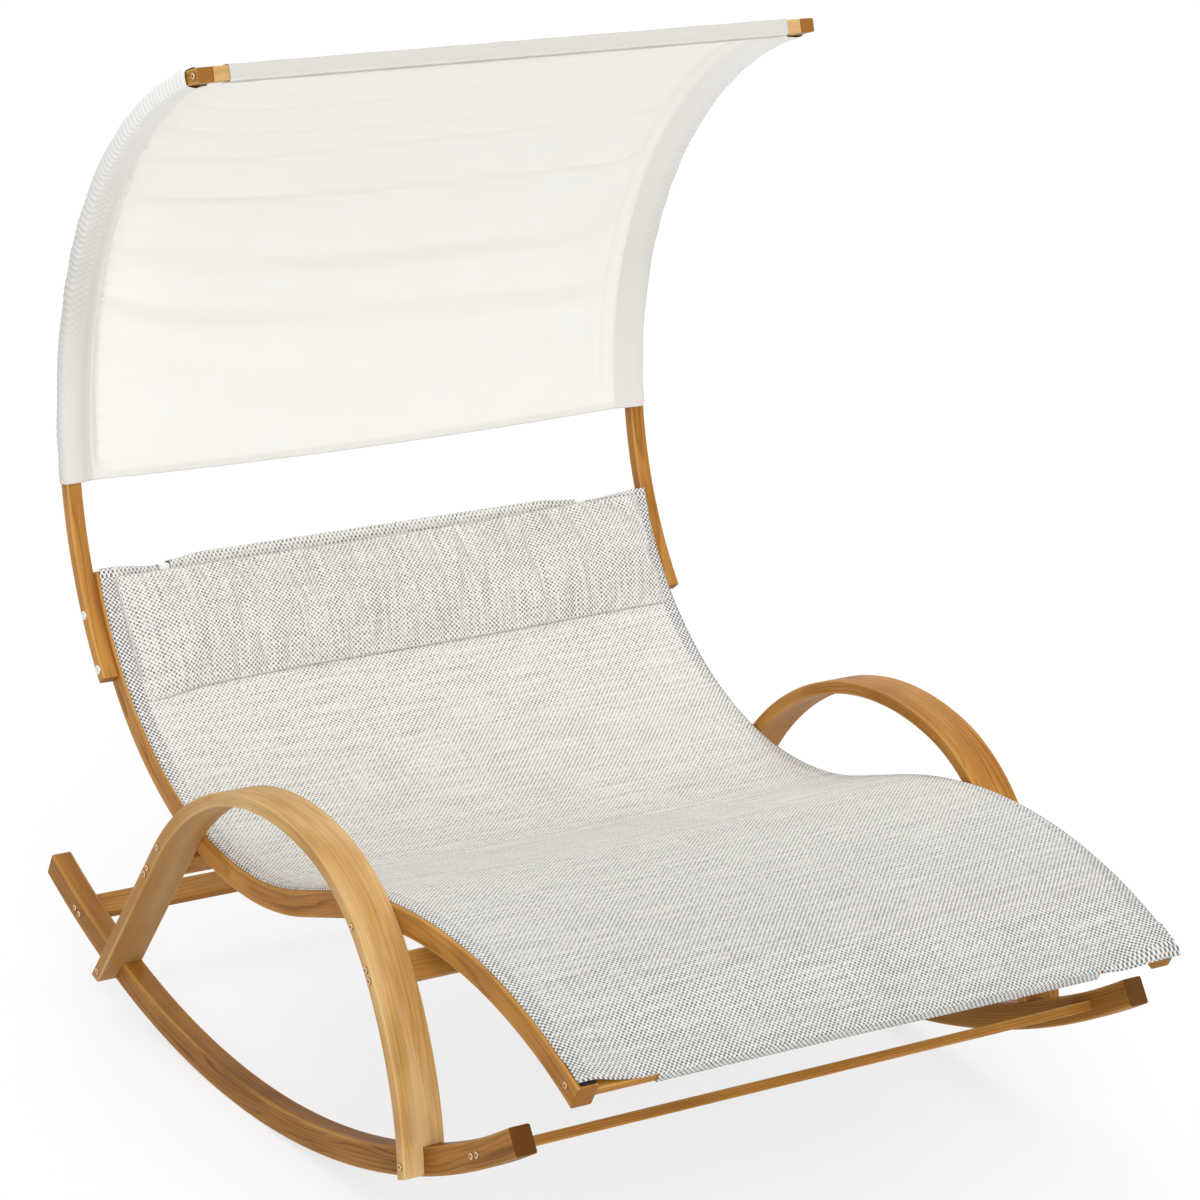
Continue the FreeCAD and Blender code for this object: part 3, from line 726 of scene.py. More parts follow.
# Wooden pieces
rocker_path = [(rocker_centre, rocker_radius, rocker_front, rocker_rear, 1)]
post_path = [(post_centre, post_radius, post_foot_angle, post_tip_angle, 1)]
seat_path = [
    (crest_centre, crest_radius, foot_angle, 90 - rail_slope, 1),
    (rail_bend, hollow_start, rail_up),
    (hollow_centre, hollow_radius, -90 - rail_slope, head_angle, -1),
]
sides = (("left", -1), ("right", 1))
for k, (side_name, side) in enumerate(sides):
    rocker = bent_bar(side_name + "_rocker_wood", rocker_path, rocker_depth, side_plane, rocker_outer,
                      4.0, side, 1 + k, shade_darkened_wood)
    arch = arm_arch(side_name + "_arm_arch_wood", side, 3 + k, wood if k else pale_wood)
    rail = bent_bar(side_name + "_seat_rail_wood", seat_path, rail_depth, rail_inner, side_plane,
                    5.0, side, 5 + k, wood)
    post = bent_bar(side_name + "_canopy_post_wood", post_path, post_depth, side_plane, post_outer,
                    3.0, side, 7 + k, wood)
    for piece, node, ends in ((rocker, "_rocker", 2.0), (arch, "_arm_arch", 1.2), (rail, "_seat_rail", 1.5),
                              (post, "_canopy_post", 1.5)):
        ease_ends(piece, ends)
        add_piece(piece, "wood", side_name + node)

batten = (batten_width, batten_thickness)
for seed, node, spot, section, half_length, tone in (
        (11, "front_seat_beam", seat_beams[0], batten, side_plane, wood),
        (12, "rear_seat_beam", seat_beams[1], batten, side_plane, wood),
        (13, "front_rocker_batten", rocker_battens[0], batten, side_plane, wood),
        (14, "rear_rocker_batten", rocker_battens[1], batten, side_plane, wood),
        (15, "foot_bar", bars[0], batten, rail_inner, wood),
        (16, "head_bar", bars[1], batten, rail_inner, wood),
        (17, "canopy_top_bar", (top_bar_at, top_bar_turn - 90), (top_bar_width, post_depth), side_plane,
         pale_wood)):
    add_piece(cross_bar(node + "_wood", *spot, *section, half_length, seed, tone), "wood", node)


# Screws, bolts and nuts
turned_sides = 24
bolt_step = 9.5
socket_rings = (7, 8)
# Painted shade for each ring of a socket head's profile: darkest under the head, where it meets the wood, and
# down in the socket.
socket_shade_rims = (0.0, 0.0, 0.0, 1.0, 0.8, 0.2, 0.0, 0.1, 1.0)


def turned(place, profile, hexagon):
    """A part turned about an axis along X through a place. Rings named in hexagon have six flats."""
    points, faces = [], []
    for k, (x, radius) in enumerate(profile):
        for i in range(turned_sides):
            turn = 2 * math.pi * i / turned_sides
            reach = radius
            if k in hexagon:
                reach *= math.cos(math.pi / 6) / math.cos(turn % (math.pi / 3) - math.pi / 6)
            points.append((x, place[0] + reach * math.cos(turn), place[1] + reach * math.sin(turn)))
    for k in range(len(profile) - 1):
        faces += bridge(k * turned_sides, (k + 1) * turned_sides, turned_sides)
    faces += [range(turned_sides), range(len(points) - turned_sides, len(points))]
    return points, faces


def socket_head(face, tip, shank=3.0, radius=6.5, height=2.4):
    """A low round head with a hexagon socket, on a plain shank."""
    return [(tip, shank * 0.6), (tip + 1.5, shank), (face, shank), (face, radius),
            (face + 0.45 * height, radius), (face + 0.8 * height, 0.93 * radius),
            (face + height, 0.78 * radius), (face + height, 0.40 * radius),
            (face + 0.25 * height, 0.38 * radius)]


def dome_head(face, tip, shank=4.0, radius=9.0, height=4.5):
    """A low dome on a plain shank."""
    edge = 0.3
    rows = [(tip, shank * 0.7), (tip + 1.0, shank), (face, shank), (face, radius), (face + edge, radius)]
    for k in range(1, 6):
        turn = math.pi / 2 * k / 6
        rows.append((face + edge + (height - edge) * math.sin(turn), radius * math.cos(turn)))
    return rows


def fasteners(name, node, slot, material, places, profile, hexagon=()):
    """One piece for a group of like fasteners on both sides."""
    points, faces, rims = [], [], []
    for place in places:
        part_points, part_faces = turned(place, profile, hexagon)
        for side in (1, -1):
            start = len(points)
            points += [(x * side, y, z) for x, y, z in part_points]
            faces += [[start + i for i in face] for face in part_faces]
            for k in range(len(profile)):
                rims += [socket_shade_rims[k] if hexagon == socket_rings else 0.0] * turned_sides
    add_piece(make_piece(name, points, faces, material, rims=rims), slot, node)


def pair(place, angle):
    return [moved(place, heading(angle), step * bolt_step) for step in (-1, 1)]


grip = side_plane - 41.7
beam_bolts_at = [place for beam in seat_beams for place in pair(*beam)]
batten_bolts_at = [place for beam in rocker_battens for place in pair(*beam)]
bar_bolts_at = [place for place, angle in bars]
for name, node, places, face, tip in (
        ("rail_screw_heads", "rail_screws", rail_screws_at, arch_outer, side_plane - 31.7),
        ("arch_foot_screw_heads", "arch_foot_screws", foot_screws_at, arch_outer, rocker_outer - 29.7),
        ("seat_beam_bolt_heads", "seat_beam_bolts", beam_bolts_at, arch_outer, grip),
        ("rocker_batten_bolt_heads", "rocker_batten_bolts", batten_bolts_at, rocker_outer, grip),
        ("bar_bolt_heads", "bar_bolts", bar_bolts_at, side_plane - 0.6, rail_inner - 44.7),
        ("top_bar_screw_heads", "top_bar_screws", [top_bar_at], post_outer, side_plane - 39.7)):
    fasteners(name, node, "brass_screws", brass, places, socket_head(face, tip), socket_rings)

washer = [(rail_inner - depth, radius)
          for depth, radius in ((1.6, 4.4), (1.6, 8.8), (1.4, 9.0), (0.1, 9.0), (0.1, 4.4))]
nut_seat = rail_inner - 1.7
cap_nut = [(nut_seat - depth, radius)
           for depth, radius in ((0.0, 4.4), (0.0, 7.2), (6.0, 7.2), (6.4, 5.6), (8.0, 5.0),
                                 (9.4, 3.2), (10.0, 0.6))]
for name, node, profile, hexagon in (
        ("post_bolt_domes", "post_bolts", dome_head(post_outer, rail_inner - 8.0), ()),
        ("post_washer_rings", "post_washers", washer, ()),
        ("post_cap_nuts", "post_nuts", cap_nut, (1, 2))):
    fasteners(name, node, "steel_bolts", steel, post_bolts_at, profile, hexagon)


def barrel_nuts():
    """Slotted barrel nuts let into one face of each batten, where the side bolts screw in."""
    points, faces = [], []
    count, radius, chamfer, slot_half, slot_deep, inset = 24, 5.5, 0.3, 0.9, 0.8, 36.0
    top = -batten_thickness / 2 - 0.35
    across = [math.sin(2 * math.pi * (i + 0.001) / count) * radius for i in range(count)]
    upper = [i for i in range(count) if across[i] > slot_half]
    lower = [i for i in range(count) if across[i] < -slot_half]
    corners = (upper[0], upper[-1], lower[0], lower[-1])
    rings = [(i, radius - edge, top + deep) for deep, edge in ((3.0, 0.0), (0.25, 0.0), (0.0, chamfer))
             for i in range(count)]
    # The slot runs across the nut's face as a shallow groove between two half discs
    rings += [(i, radius - chamfer, top + slot_deep) for i in corners]
    rim, floor = 2 * count, 3 * count
    nut_faces = bridge(0, count, count) + bridge(count, rim, count) + [range(count)]
    nut_faces += [[rim + i for i in upper], [rim + i for i in lower], range(floor, floor + 4)]
    nut_faces += [(rim + corners[k], rim + corners[k + 1], floor + k + 1, floor + k) for k in (0, 2)]
    for place, angle in seat_beams + rocker_battens:
        along, out = heading(angle), heading(angle + 90)
        for middle in pair(place, angle):
            for side in (-1, 1):
                faces += [[len(points) + i for i in face] for face in nut_faces]
                for i, reach, depth in rings:
                    turn = 2 * math.pi * i / count
                    y, z = moved(moved(middle, along, reach * math.sin(turn)), out, depth)
                    points.append(((side_plane - inset + reach * math.cos(turn)) * side, y, z))
    # Each nut is let into a batten, and all of it takes half of the painted shade.
    rims = [0.5] * len(points)
    add_piece(make_piece("batten_barrel_nuts", points, faces, brass, rims=rims), "brass_screws")


barrel_nuts()

for side_name in ("left", "right"):
    strip = frame["nodes"][side_name + "_sling_strip"]
    strip.data.materials.clear()
    strip.data.materials.append(strip_black)


# Cloth pieces
def grid_faces(rows, columns, keep):
    return [(r * columns + c, r * columns + c + 1, (r + 1) * columns + c + 1, (r + 1) * columns + c)
            for r in range(rows - 1) for c in range(columns - 1) if keep(r, c)]


def drop_loose(points, faces, vectors):
    """Keep only the points that a face uses."""
    used = sorted({i for face in faces for i in face})
    new = {old: k for k, old in enumerate(used)}
    return [points[i] for i in used], [[new[i] for i in face] for face in faces], [vectors[i] for i in used]


def seat_point(distance, up):
    """A place over the rails' top line, by its distance from the foot end and its height above the wood."""
    if distance < crest_length:
        return polar(crest_centre, crest_radius + up, foot_angle - math.degrees(distance / crest_radius))
    distance -= crest_length
    if distance < rail_straight:
        return moved(moved(rail_bend, rail_down, distance), rail_up, up)
    turn = math.degrees((distance - rail_straight) / hollow_radius)
    return polar(hollow_centre, hollow_radius - up, -90 - rail_slope + turn)


sling_half = 604.5
sling_up = 4.1
sling_sag = 7.0
hem_width = 30.0
tunnel_half = 450.0
notch_far = 476.0
end_stretch = 60.0
bar_cover = 1.2
dip_outer = 573.0
dip_width = 93.0
dip_reach = 190.0
dip_length = 140.0
sag_from = 150.0
sag_length = 300.0
edge_from = 596.0
edge_width = 8.0
edge_drop = 3.0
foot_slack = 9.0
head_slack = 2.0
foot_overhang = 20.0
head_overhang = 9.0
foot_short = 4.5
# How far the cloth has come from the end of the rails at each row of a tunnel
tunnel_run = (-50, -40, -30, -20, -10, -4, 0, 4, 10, 17, 21, 30, 44, 60, 71, 75, 82, 90)


def tunnel_rows(slack):
    """The sling's way round a bar, as (along, up) at the end of the rails: over, round, under and back up."""
    over = [(along, bar_top + bar_cover) for along in (-50.0, -40.0, -30.0, -20.0, -10.0)]
    return over + [
        (-4.0, bar_top + 0.8), (-2.2, bar_top - 2.0), (-2.0, bar_top - 6.0),
        (-2.0, bar_top - 12.0 - 0.5 * slack), (-2.4, bar_low + 1.0 - slack), (-5.0, bar_low - 1.5 - slack),
        (-14.0, bar_low - 2.0 - 0.9 * slack), (-28.0, bar_low - 2.0 - 0.7 * slack),
        (-44.0, bar_low - 1.8 - 0.4 * slack), (-55.0, bar_low - 1.4), (-58.2, bar_low + 2.0),
        (-58.6, bar_low + 9.0), (-59.0, bar_top - 3.0)]


def sling_dip(x):
    """1 where the sling's end lies on its bar, down to 0 over the rails."""
    slope = min(max((dip_outer - abs(x)) / dip_width, 0.0), 1.0)
    return 0.5 * slope + 0.5 * smooth(slope)


def seat_place(x, distance):
    """A place on the sling between the bars: it dips to them at its ends and sags between the rails."""
    from_head = seat_length - distance
    fall = sling_dip(x) * sum(smooth((dip_reach - gap) / dip_length) for gap in (distance, from_head))
    up = sling_up + fall * (bar_top + bar_cover - sling_up)
    if abs(x) < rail_inner:
        sag = sling_sag * (1 - (x / rail_inner) ** 2)
        up -= sag * smooth((distance - sag_from) / sag_length) * smooth((from_head - sag_from) / sag_length)
    up -= edge_drop * smooth((abs(x) - edge_from) / edge_width)
    return seat_point(distance, up)


def end_place(x, foot, k):
    """A place on row k of the sling's foot or head end.

    Near the bars' ends the cloth lies on over the rails, and its raw edge ends near their sawn ends."""
    along, up = tunnel_rows(foot_slack * smooth((x + 350.0) / 800.0) if foot else head_slack)[k]
    if abs(x) > tunnel_half + 0.1:
        share = sling_dip(x)
        flat_along = -50.0 + 9.0 * min(k, 6)
        droop = 0.0
        if k >= 5:
            if foot:
                reach = foot_overhang * smooth((x - 300.0) / 300.0)
            else:
                reach = head_overhang * smooth((abs(x) - 470.0) / 110.0)
            flat_along = -5.0 + reach * min(1.0, (k - 4) / 3.0)
            droop = max(0.0, flat_along) * 0.55 if foot else 0.0
        if foot:
            flat_along -= foot_short * smooth((-x - 530.0) / 42.0) * min(k, 5) / 5.0
        along = along * share + flat_along * (1 - share) if k <= 5 else flat_along
        over_bar = up if k <= 5 else bar_top + 0.8 - droop
        up = over_bar * share + (sling_up - droop) * (1 - share)
    elif not foot:
        roll = 1.0 if 5 <= k <= 10 else {3: 0.35, 4: 0.75, 11: 0.75, 12: 0.35}.get(k, 0.0)
        along += (11.0 - 7.0 * smooth((abs(x) - 370.0) / 78.0)) * roll
    return at_foot(along, up) if foot else at_head(along, up)


def hem_and_pillow_shade_at(x, distance):
    """How much denser the weave looks there: in the side hems, and a little by the ends. Beside the pillow
    the side hems are much denser still, as painted shade from the pillow.
    """
    if sling_half - abs(x) < hem_width:
        return 0.7 + 1.5 * smooth((distance - seat_length + 520.0) / 260.0)
    return 0.25 if min(distance, seat_length - distance) < 26.0 else 0.0


def sling():
    """The woven seat: stretched over both rails, dipped to the two bars and sewn round them in tunnels."""
    edges = [sling_half - inset for inset in (2.0, 4.0, 6.5, 9.0, hem_width)]
    edges += [tunnel_half, notch_far, rail_inner]
    xs = sorted(set(list(np.linspace(-sling_half, sling_half, 101)) + edges + [-x for x in edges]))
    xs = [x for k, x in enumerate(xs) if k == 0 or x - xs[k - 1] > 0.5]
    seat_rows = np.linspace(end_stretch, seat_length - end_stretch, 171)
    tunnel_count = len(tunnel_run)
    rows = [("foot", k) for k in reversed(range(tunnel_count))]
    rows += [("seat", k) for k in range(len(seat_rows))]
    rows += [("head", k) for k in range(tunnel_count)]
    points, vectors = [], []
    for kind, k in rows:
        for x in xs:
            if kind == "seat":
                fabric = seat_rows[k]
                place = seat_place(x, fabric)
            else:
                fabric = -tunnel_run[k] if kind == "foot" else seat_length + tunnel_run[k]
                place = end_place(x, kind == "foot", k)
            points.append((x, *place))
            vectors.append((x / 1000, fabric / 1000, hem_and_pillow_shade_at(x, fabric)))
    first_head = tunnel_count + len(seat_rows)

    def keep(r, c):
        middle = (xs[c] + xs[c + 1]) / 2
        in_tunnel = abs(middle) < tunnel_half
        if r + 1 < tunnel_count:
            return in_tunnel or rows[r][1] <= (5 if middle < 0 else 7)
        if r + 1 >= first_head:
            return in_tunnel or (abs(middle) > notch_far and rows[r + 1][1] <= 7)
        return True

    points, faces, vectors = drop_loose(points, grid_faces(len(rows), len(xs), keep), vectors)
    return make_sheet("sling_sheet", points, faces, sling_weave, vectors, 0.0018)


sling_sheet = sling()
add_piece(sling_sheet, "sling_weave", "sling")

seam_x = side_plane - 30.0
hem_turn = -6.8
sleeve_end_turn = post_tip_angle - math.degrees(40.0 / post_mid)
sleeve_long = post_mid * math.radians(sleeve_end_turn - hem_turn)
cloth_end = post_tip_angle - math.degrees((top_bar_width + 1.5) / post_mid)
cloth_long = post_mid * math.radians(cloth_end - hem_turn)
gather_left = 2.2
gather_right = 1.3
gather_pitch = 2.25
mouth_long = 44.0
roof_sag = 13.0
bar_step = 12.5
hem_droop = 9.0


def spread(k, low, high):
    """Fixed values that lie evenly but without order between low and high."""
    return low + (high - low) * ((0.37 + k * 0.6180339887) % 1.0)


# Folds across the canopy: how far up the cloth each lies at five places from the left seam to the right,
# how far it stands out at those places, and how wide its step is
fold_places = (-578.0, -290.0, 0.0, 290.0, 578.0)
fold_lines = (
    ((232, 142, 98, 106, 150), (2.0, 5.0, 5.5, 4.5, 1.5), 70.0),
    ((342, 278, 258, 250, 244), (4.0, 5.0, 4.5, 4.5, 3.0), 40.0),
    ((462, 394, 378, 376, 386), (4.0, 5.0, 5.0, 4.5, 3.5), 38.0),
    ((567, 550, 546, 546, 548), (4.5, 4.5, 4.5, 5.0, 5.0), 26.0),
    ((668, 669, 673, 680, 694), (5.0, 6.0, 6.0, 5.0, 4.5), 30.0),
    ((766, 750, 744, 748, 760), (7.5, 5.5, 2.5, 1.0, 2.0), 24.0),
    ((834, 856, 862, 866, 870), (7.0, 5.0, 2.0, 0.5, 1.0), 22.0),
    ((884, 960, 975, 975, 980), (6.0, 4.0, 1.5, 0.3, 0.6), 20.0),
)
fold_height = 4.6
crease_count = 38


def folds(x, v):
    """How far the canopy's soft folds stand in towards the seat, at a distance v up from the hem."""
    places, heights = ([np.polyval(np.polyfit(fold_places, line[row], 4), x) for line in fold_lines]
                       for row in (0, 1))
    total = np.zeros_like(v)
    for k, line in enumerate(fold_lines):
        below = places[k] - 110.0 if k == 0 else (places[k - 1] + places[k]) / 2
        above = places[k] + 90.0 if k + 1 == len(fold_lines) else (places[k] + places[k + 1]) / 2
        step = smooth((v - places[k]) / (1.6 * line[2]) + 0.5)
        slope = np.clip((v - below) / (above - below), 0.0, 1.0)
        total += fold_height * np.maximum(heights[k], 0.0) * (step - slope)
    total *= smooth((seam_x - np.abs(x)) / np.where(x < 0, 60.0, 90.0))
    total *= 1.0 + 0.35 * np.sin(x / 130.0 + v / 55.0)
    # Short creases run in from the seams, longer high up and deeper on the left
    for side, longer, deep in ((-1, 0.9, 1.0), (1, 0.3, 0.5)):
        inside = seam_x - x * side
        for k in range(crease_count):
            place = 30.0 + 26.5 * k + spread(3 * k, -9.0, 9.0)
            length = spread(5 * k + (1 if side > 0 else 0), 50.0, 150.0)
            length *= 1.0 + longer * smooth((place - 450.0) / 300.0)
            fade = np.clip(1.0 - inside / length, 0.0, 1.0) ** 1.5 * smooth(inside / 26.0)
            t = (v - place - spread(7 * k, -0.22, 0.22) * inside) / (5.0 + 0.03 * inside)
            total += spread(11 * k, 2.0, 5.0) * deep * fade * (np.exp(-t * t) - 0.33)
    # Slack between the folds lies in shallow irregular waves
    drift = v + 30.0 * np.sin(x / 240.0 + 0.6) + 14.0 * np.sin(x / 91.0 + v / 160.0)
    wave = np.sin(drift / 15.0 + 1.8 * np.sin(drift / 67.0 + x / 400.0))
    return total + 1.5 * wave * (0.55 + 0.45 * np.sin(x / 170.0 + v / 120.0))


def sleeve_loop():
    """The right sleeve's section from its seam round the post and back, as (x, out)."""
    gap = 2.0
    low, high, far = -post_depth / 2 - gap, post_depth / 2 + gap, post_outer + gap
    return [(seam_x + 3, -0.9), (seam_x + 9, 0.16 * low), (seam_x + 17, 0.48 * low),
            (side_plane - 3, 0.92 * low), (side_plane + 8, low), (side_plane + 15, low - 0.6),
            (post_outer - 8, low), (far - 3, low + 1.5), (far, low + 6), (far + 0.6, 0.0), (far, high - 6),
            (far - 3, high - 1.5), (post_outer - 8, high),
            (side_plane + 15, high + 0.6), (side_plane + 8, high), (side_plane - 3, 0.92 * high),
            (seam_x + 17, 0.48 * high), (seam_x + 9, 0.18 * high), (seam_x + 2, 1.0)]


def sleeve_gathers(x, n, v):
    """How far a sleeve's cloth stands off its post and out to the side, and how deep in a pleat it lies,
    which sets painted shade.
    """
    past_post = abs(x) - side_plane
    left = x < 0
    phase = v / gather_pitch + 0.30 * past_post + 1.4 * math.sin(v / 37.0) + (1.1 if left else 0.0)
    swell = 0.5 + 0.5 * math.sin(phase)
    ruche = (gather_left if left else gather_right) * (0.35 + 0.65 * smooth((v - 220.0) / 300.0)) * swell
    ruche += 0.5 + 0.5 * math.sin(v / 17.0 + 2.3 * math.sin(v / 71.0))
    pleat_shade = (1.0 - swell) * smooth((v - 180.0) / 250.0) * smooth(past_post / 12.0)
    mouth = (7.0 if n > 0 else 1.0) * swell_between((v - sleeve_long + mouth_long) / mouth_long)
    mouth *= swell_between((past_post + 4.0) / (post_outer - side_plane + 8.0))
    off = ruche * smooth((abs(x) - seam_x - 8.0) / 30.0) * n / math.hypot(n, 6.0) + math.copysign(mouth, n)
    aside = math.copysign(ruche * smooth((abs(x) - post_outer + 6.0) / 8.0), x)
    return off, aside, pleat_shade


def panel_hang(x, v, turn, fold):
    """How far in from the posts' curve the canopy's panel hangs, and how far down its hem is drawn."""
    inward = 1 - min(1.0, (x / seam_x) ** 2)
    from_seam = seam_x - abs(x)
    inset = fold * smooth(v / 50.0) * smooth((cloth_long - v) / 60.0) * smooth(from_seam / 14.0)
    inset += inward * roof_sag * smooth((turn - 15.0) / 55.0) * smooth((cloth_end - turn) / 14.0)
    inset += bar_step * smooth((v - cloth_long + 130.0) / 130.0) * smooth(from_seam / 60.0)
    return inset, hem_droop * inward * smooth((120.0 - v) / 120.0)


def canopy():
    """One sheet: a hem, a panel between the posts, a sleeve on each post and a pocket round the top bar."""
    loop = sleeve_loop()
    panel_x = list(np.linspace(seam_x, -seam_x, 105))
    panel_x = panel_x[:1] + [seam_x - 1.5] + panel_x[1:-1] + [1.5 - seam_x] + panel_x[-1:]
    profile = [(x, n, True) for x, n in reversed(loop)]
    profile += [(x, 0.0, False) for x in panel_x]
    profile += [(-x, n, True) for x, n in loop]
    wide = [0.0]
    for first, second in zip(profile, profile[1:]):
        wide.append(wide[-1] + math.dist(first[:2], second[:2]))
    turns = np.linspace(hem_turn, cloth_end, 361)
    sleeve_rows = int((turns <= sleeve_end_turn).sum())
    ups = np.radians(turns - hem_turn) * post_mid
    lift = folds(*np.meshgrid(np.array(panel_x), ups))
    points, vectors = [], []
    for r, turn in enumerate(turns):
        v = ups[r]
        high_up = min(max((v - 330.0) / 600.0, 0.0), 1.0)
        # Painted shade on the sleeves and their seams: darker the lower they are, and darker still in their
        # pleats.
        sleeve_shade = -0.3 - 0.76 * (1.0 - high_up)
        # The panel is doubled by its hem. By the top bar it lets less light through, with a little of the
        # doubled cloth's colour, so that the bar blocking the light behind it leaves no dark band.
        panel_layers = 0.6 if v < 12.0 else 0.3 * smooth((v - cloth_long + 40.0) / 40.0)
        for c, (x, n, in_loop) in enumerate(profile):
            if in_loop:
                off, aside, pleat_shade = sleeve_gathers(x, n, v)
                layers_and_shade = sleeve_shade - (0.40 if x < 0 else 0.20) * (1.0 - 0.3 * high_up) * pleat_shade
                y, z = polar(post_centre, post_mid + n + off, turn)
                x += aside
            else:
                inset, drawn = panel_hang(x, v, turn, lift[r, c - len(loop)])
                layers_and_shade = sleeve_shade if seam_x - abs(x) < 1.0 else panel_layers
                y, z = polar(post_centre, post_mid - inset, turn - math.degrees(drawn / post_mid))
            points.append((x, y, z))
            vectors.append((wide[c] / 1000, v / 1000, layers_and_shade))
    # The pocket goes on from the panel, over the outside of the bar and back to the panel
    half_w, half_t = top_bar_width / 2 + 1.6, post_depth / 2 + 1.6
    pocket = [(-half_w, 0.35 * half_t), (-half_w + 1.2, half_t - 1.2), (-half_w + 5, half_t),
              (0.0, half_t + 0.5), (half_w - 5, half_t), (half_w - 1.2, half_t - 1.2), (half_w, half_t - 5),
              (half_w + 0.4, 0.0), (half_w, -half_t + 5), (half_w - 1.2, -half_t + 1.2),
              (half_w - 5, -half_t), (0.0, -half_t - 0.5), (-half_w + 5, -half_t),
              (-half_w + 1.0, -half_t - 0.1), (-half_w - 2.5, -half_t + 0.4)]
    along, out = heading(top_bar_turn + 90), heading(top_bar_turn)
    for k, (w, n) in enumerate(pocket):
        # Painted shade darkens the pocket's tube, and its last rows are painted lighter against the shade in
        # the crease below it.
        layers_and_shade = 2.2 if k < 9 else (1.2 if k == 9 else 0.4)
        deep = (0.3 if abs(n) > 8 else 0.1) * (1 if n > 0 else -1)
        for (x, *_), across in zip(profile, wide):
            pucker = deep * math.sin(x / 21.0 + 1.9 * math.sin(x / 97.0) + k)
            points.append((x, *moved(moved(top_bar_at, along, w), out, n + pucker)))
            vectors.append((across / 1000, (cloth_long + 7.0 * (k + 1)) / 1000, layers_and_shade))

    def keep(r, c):
        return r + 1 < sleeve_rows or not (profile[c][2] or profile[c + 1][2])

    faces = grid_faces(len(turns) + len(pocket), len(profile), keep)
    points, faces, vectors = drop_loose(points, faces, vectors)
    return make_sheet("canopy_sheet", points, faces, canopy_cloth, vectors, 0.0009)


canopy_sheet = canopy()
add_piece(canopy_sheet, "canopy_cloth", "canopy_cloth")

pillow_half = 577.0
pillow_top = seat_length - 14.0
pillow_bottom = seat_length - 246.0
pillow_back = 7.0
pillow_thick = 42.0
pillow_crown = 0.72 * pillow_thick
pillow_cover = 240.0


def pillow_point(t, x, up):
    """A place on the pillow: t from the bottom seam to the top one, x across, up off the wood."""
    low = pillow_bottom - 6.0 * smooth((-x - 200.0) / 300.0) - 14.0 * smooth((-x - 430.0) / 140.0)
    low += 6.0 * smooth((x - 100.0) / 400.0)
    high = pillow_top + 8.0 * smooth((x - 150.0) / 350.0)
    return seat_point(low + (high - low) * t, up)


def pillow_shell(columns, rows):
    """The cover before it is filled: a front and a back that meet in a seam all round."""
    points, vectors, faces, front = [], [], [], []
    place = {}

    def eased(r):
        return -math.cos(math.pi * (0.08 + 0.84 * r / rows))

    def index(layer, r, c):
        on_seam = r in (0, rows) or c in (0, columns)
        key = (0 if on_seam else layer, r, c)
        if key not in place:
            t = (eased(r) - eased(0)) / (eased(rows) - eased(0))
            x = pillow_half * (2 * c / columns - 1)
            crown = math.sin(math.pi * t) ** 0.68 if 0 < t < 1 else 0.0
            crown *= smooth((pillow_half - abs(x)) / (80.0 if x < 0 else 24.0)) ** 0.5
            up = pillow_back + (pillow_crown * crown if layer else 0.0) + (0.5 if on_seam else 0.0)
            place[key] = len(points)
            points.append((x + 7.0 * smooth(x / 500.0), *pillow_point(t, x, up)))
            vectors.append((x / 1000, (0.003 if layer else 0.5) + pillow_cover * t / 1000, 0.0))
            front.append(key[0] == 1)
        return place[key]

    for layer in (0, 1):
        for r in range(rows):
            for c in range(columns):
                face = [index(layer, r + i, c + j) for i, j in ((0, 0), (0, 1), (1, 1), (1, 0))]
                faces.append(face if layer else face[::-1])
    return points, vectors, faces, front


def fill(piece, free, cap):
    """Swell a cover by air pressure with the cloth solver. Back and seams are held, and moves are capped."""
    mesh = piece.data
    held = piece.vertex_groups.new(name="held")
    held.add([i for i, loose in enumerate(free) if not loose], 1.0, "REPLACE")
    solver = piece.modifiers.new("fill", "CLOTH")
    for key, value in (("quality", 6), ("mass", 0.25), ("tension_stiffness", 25.0),
                       ("compression_stiffness", 25.0), ("shear_stiffness", 12.0), ("bending_stiffness", 0.6),
                       ("use_pressure", True), ("uniform_pressure_force", 4.0), ("shrink_min", -0.045),
                       ("vertex_group_mass", "held")):
        setattr(solver.settings, key, value)
    solver.settings.effector_weights.gravity = 0.0
    solver.point_cache.frame_start = 1
    solver.point_cache.frame_end = 20
    start = np.empty(len(mesh.vertices) * 3, np.float32)
    mesh.vertices.foreach_get("co", start)
    for step in range(1, 21):
        scene.frame_set(step)
    swollen = piece.evaluated_get(bpy.context.evaluated_depsgraph_get()).to_mesh()
    end = np.empty_like(start)
    swollen.vertices.foreach_get("co", end)
    move = (end - start).reshape(-1, 3)
    far = np.linalg.norm(move, axis=1, keepdims=True)
    move *= np.minimum(1.0, cap / np.maximum(far, 1e-9))
    piece.modifiers.remove(solver)
    piece.vertex_groups.clear()
    mesh.vertices.foreach_set("co", (start.reshape(-1, 3) + move).ravel())
    mesh.update()
    scene.frame_set(1)


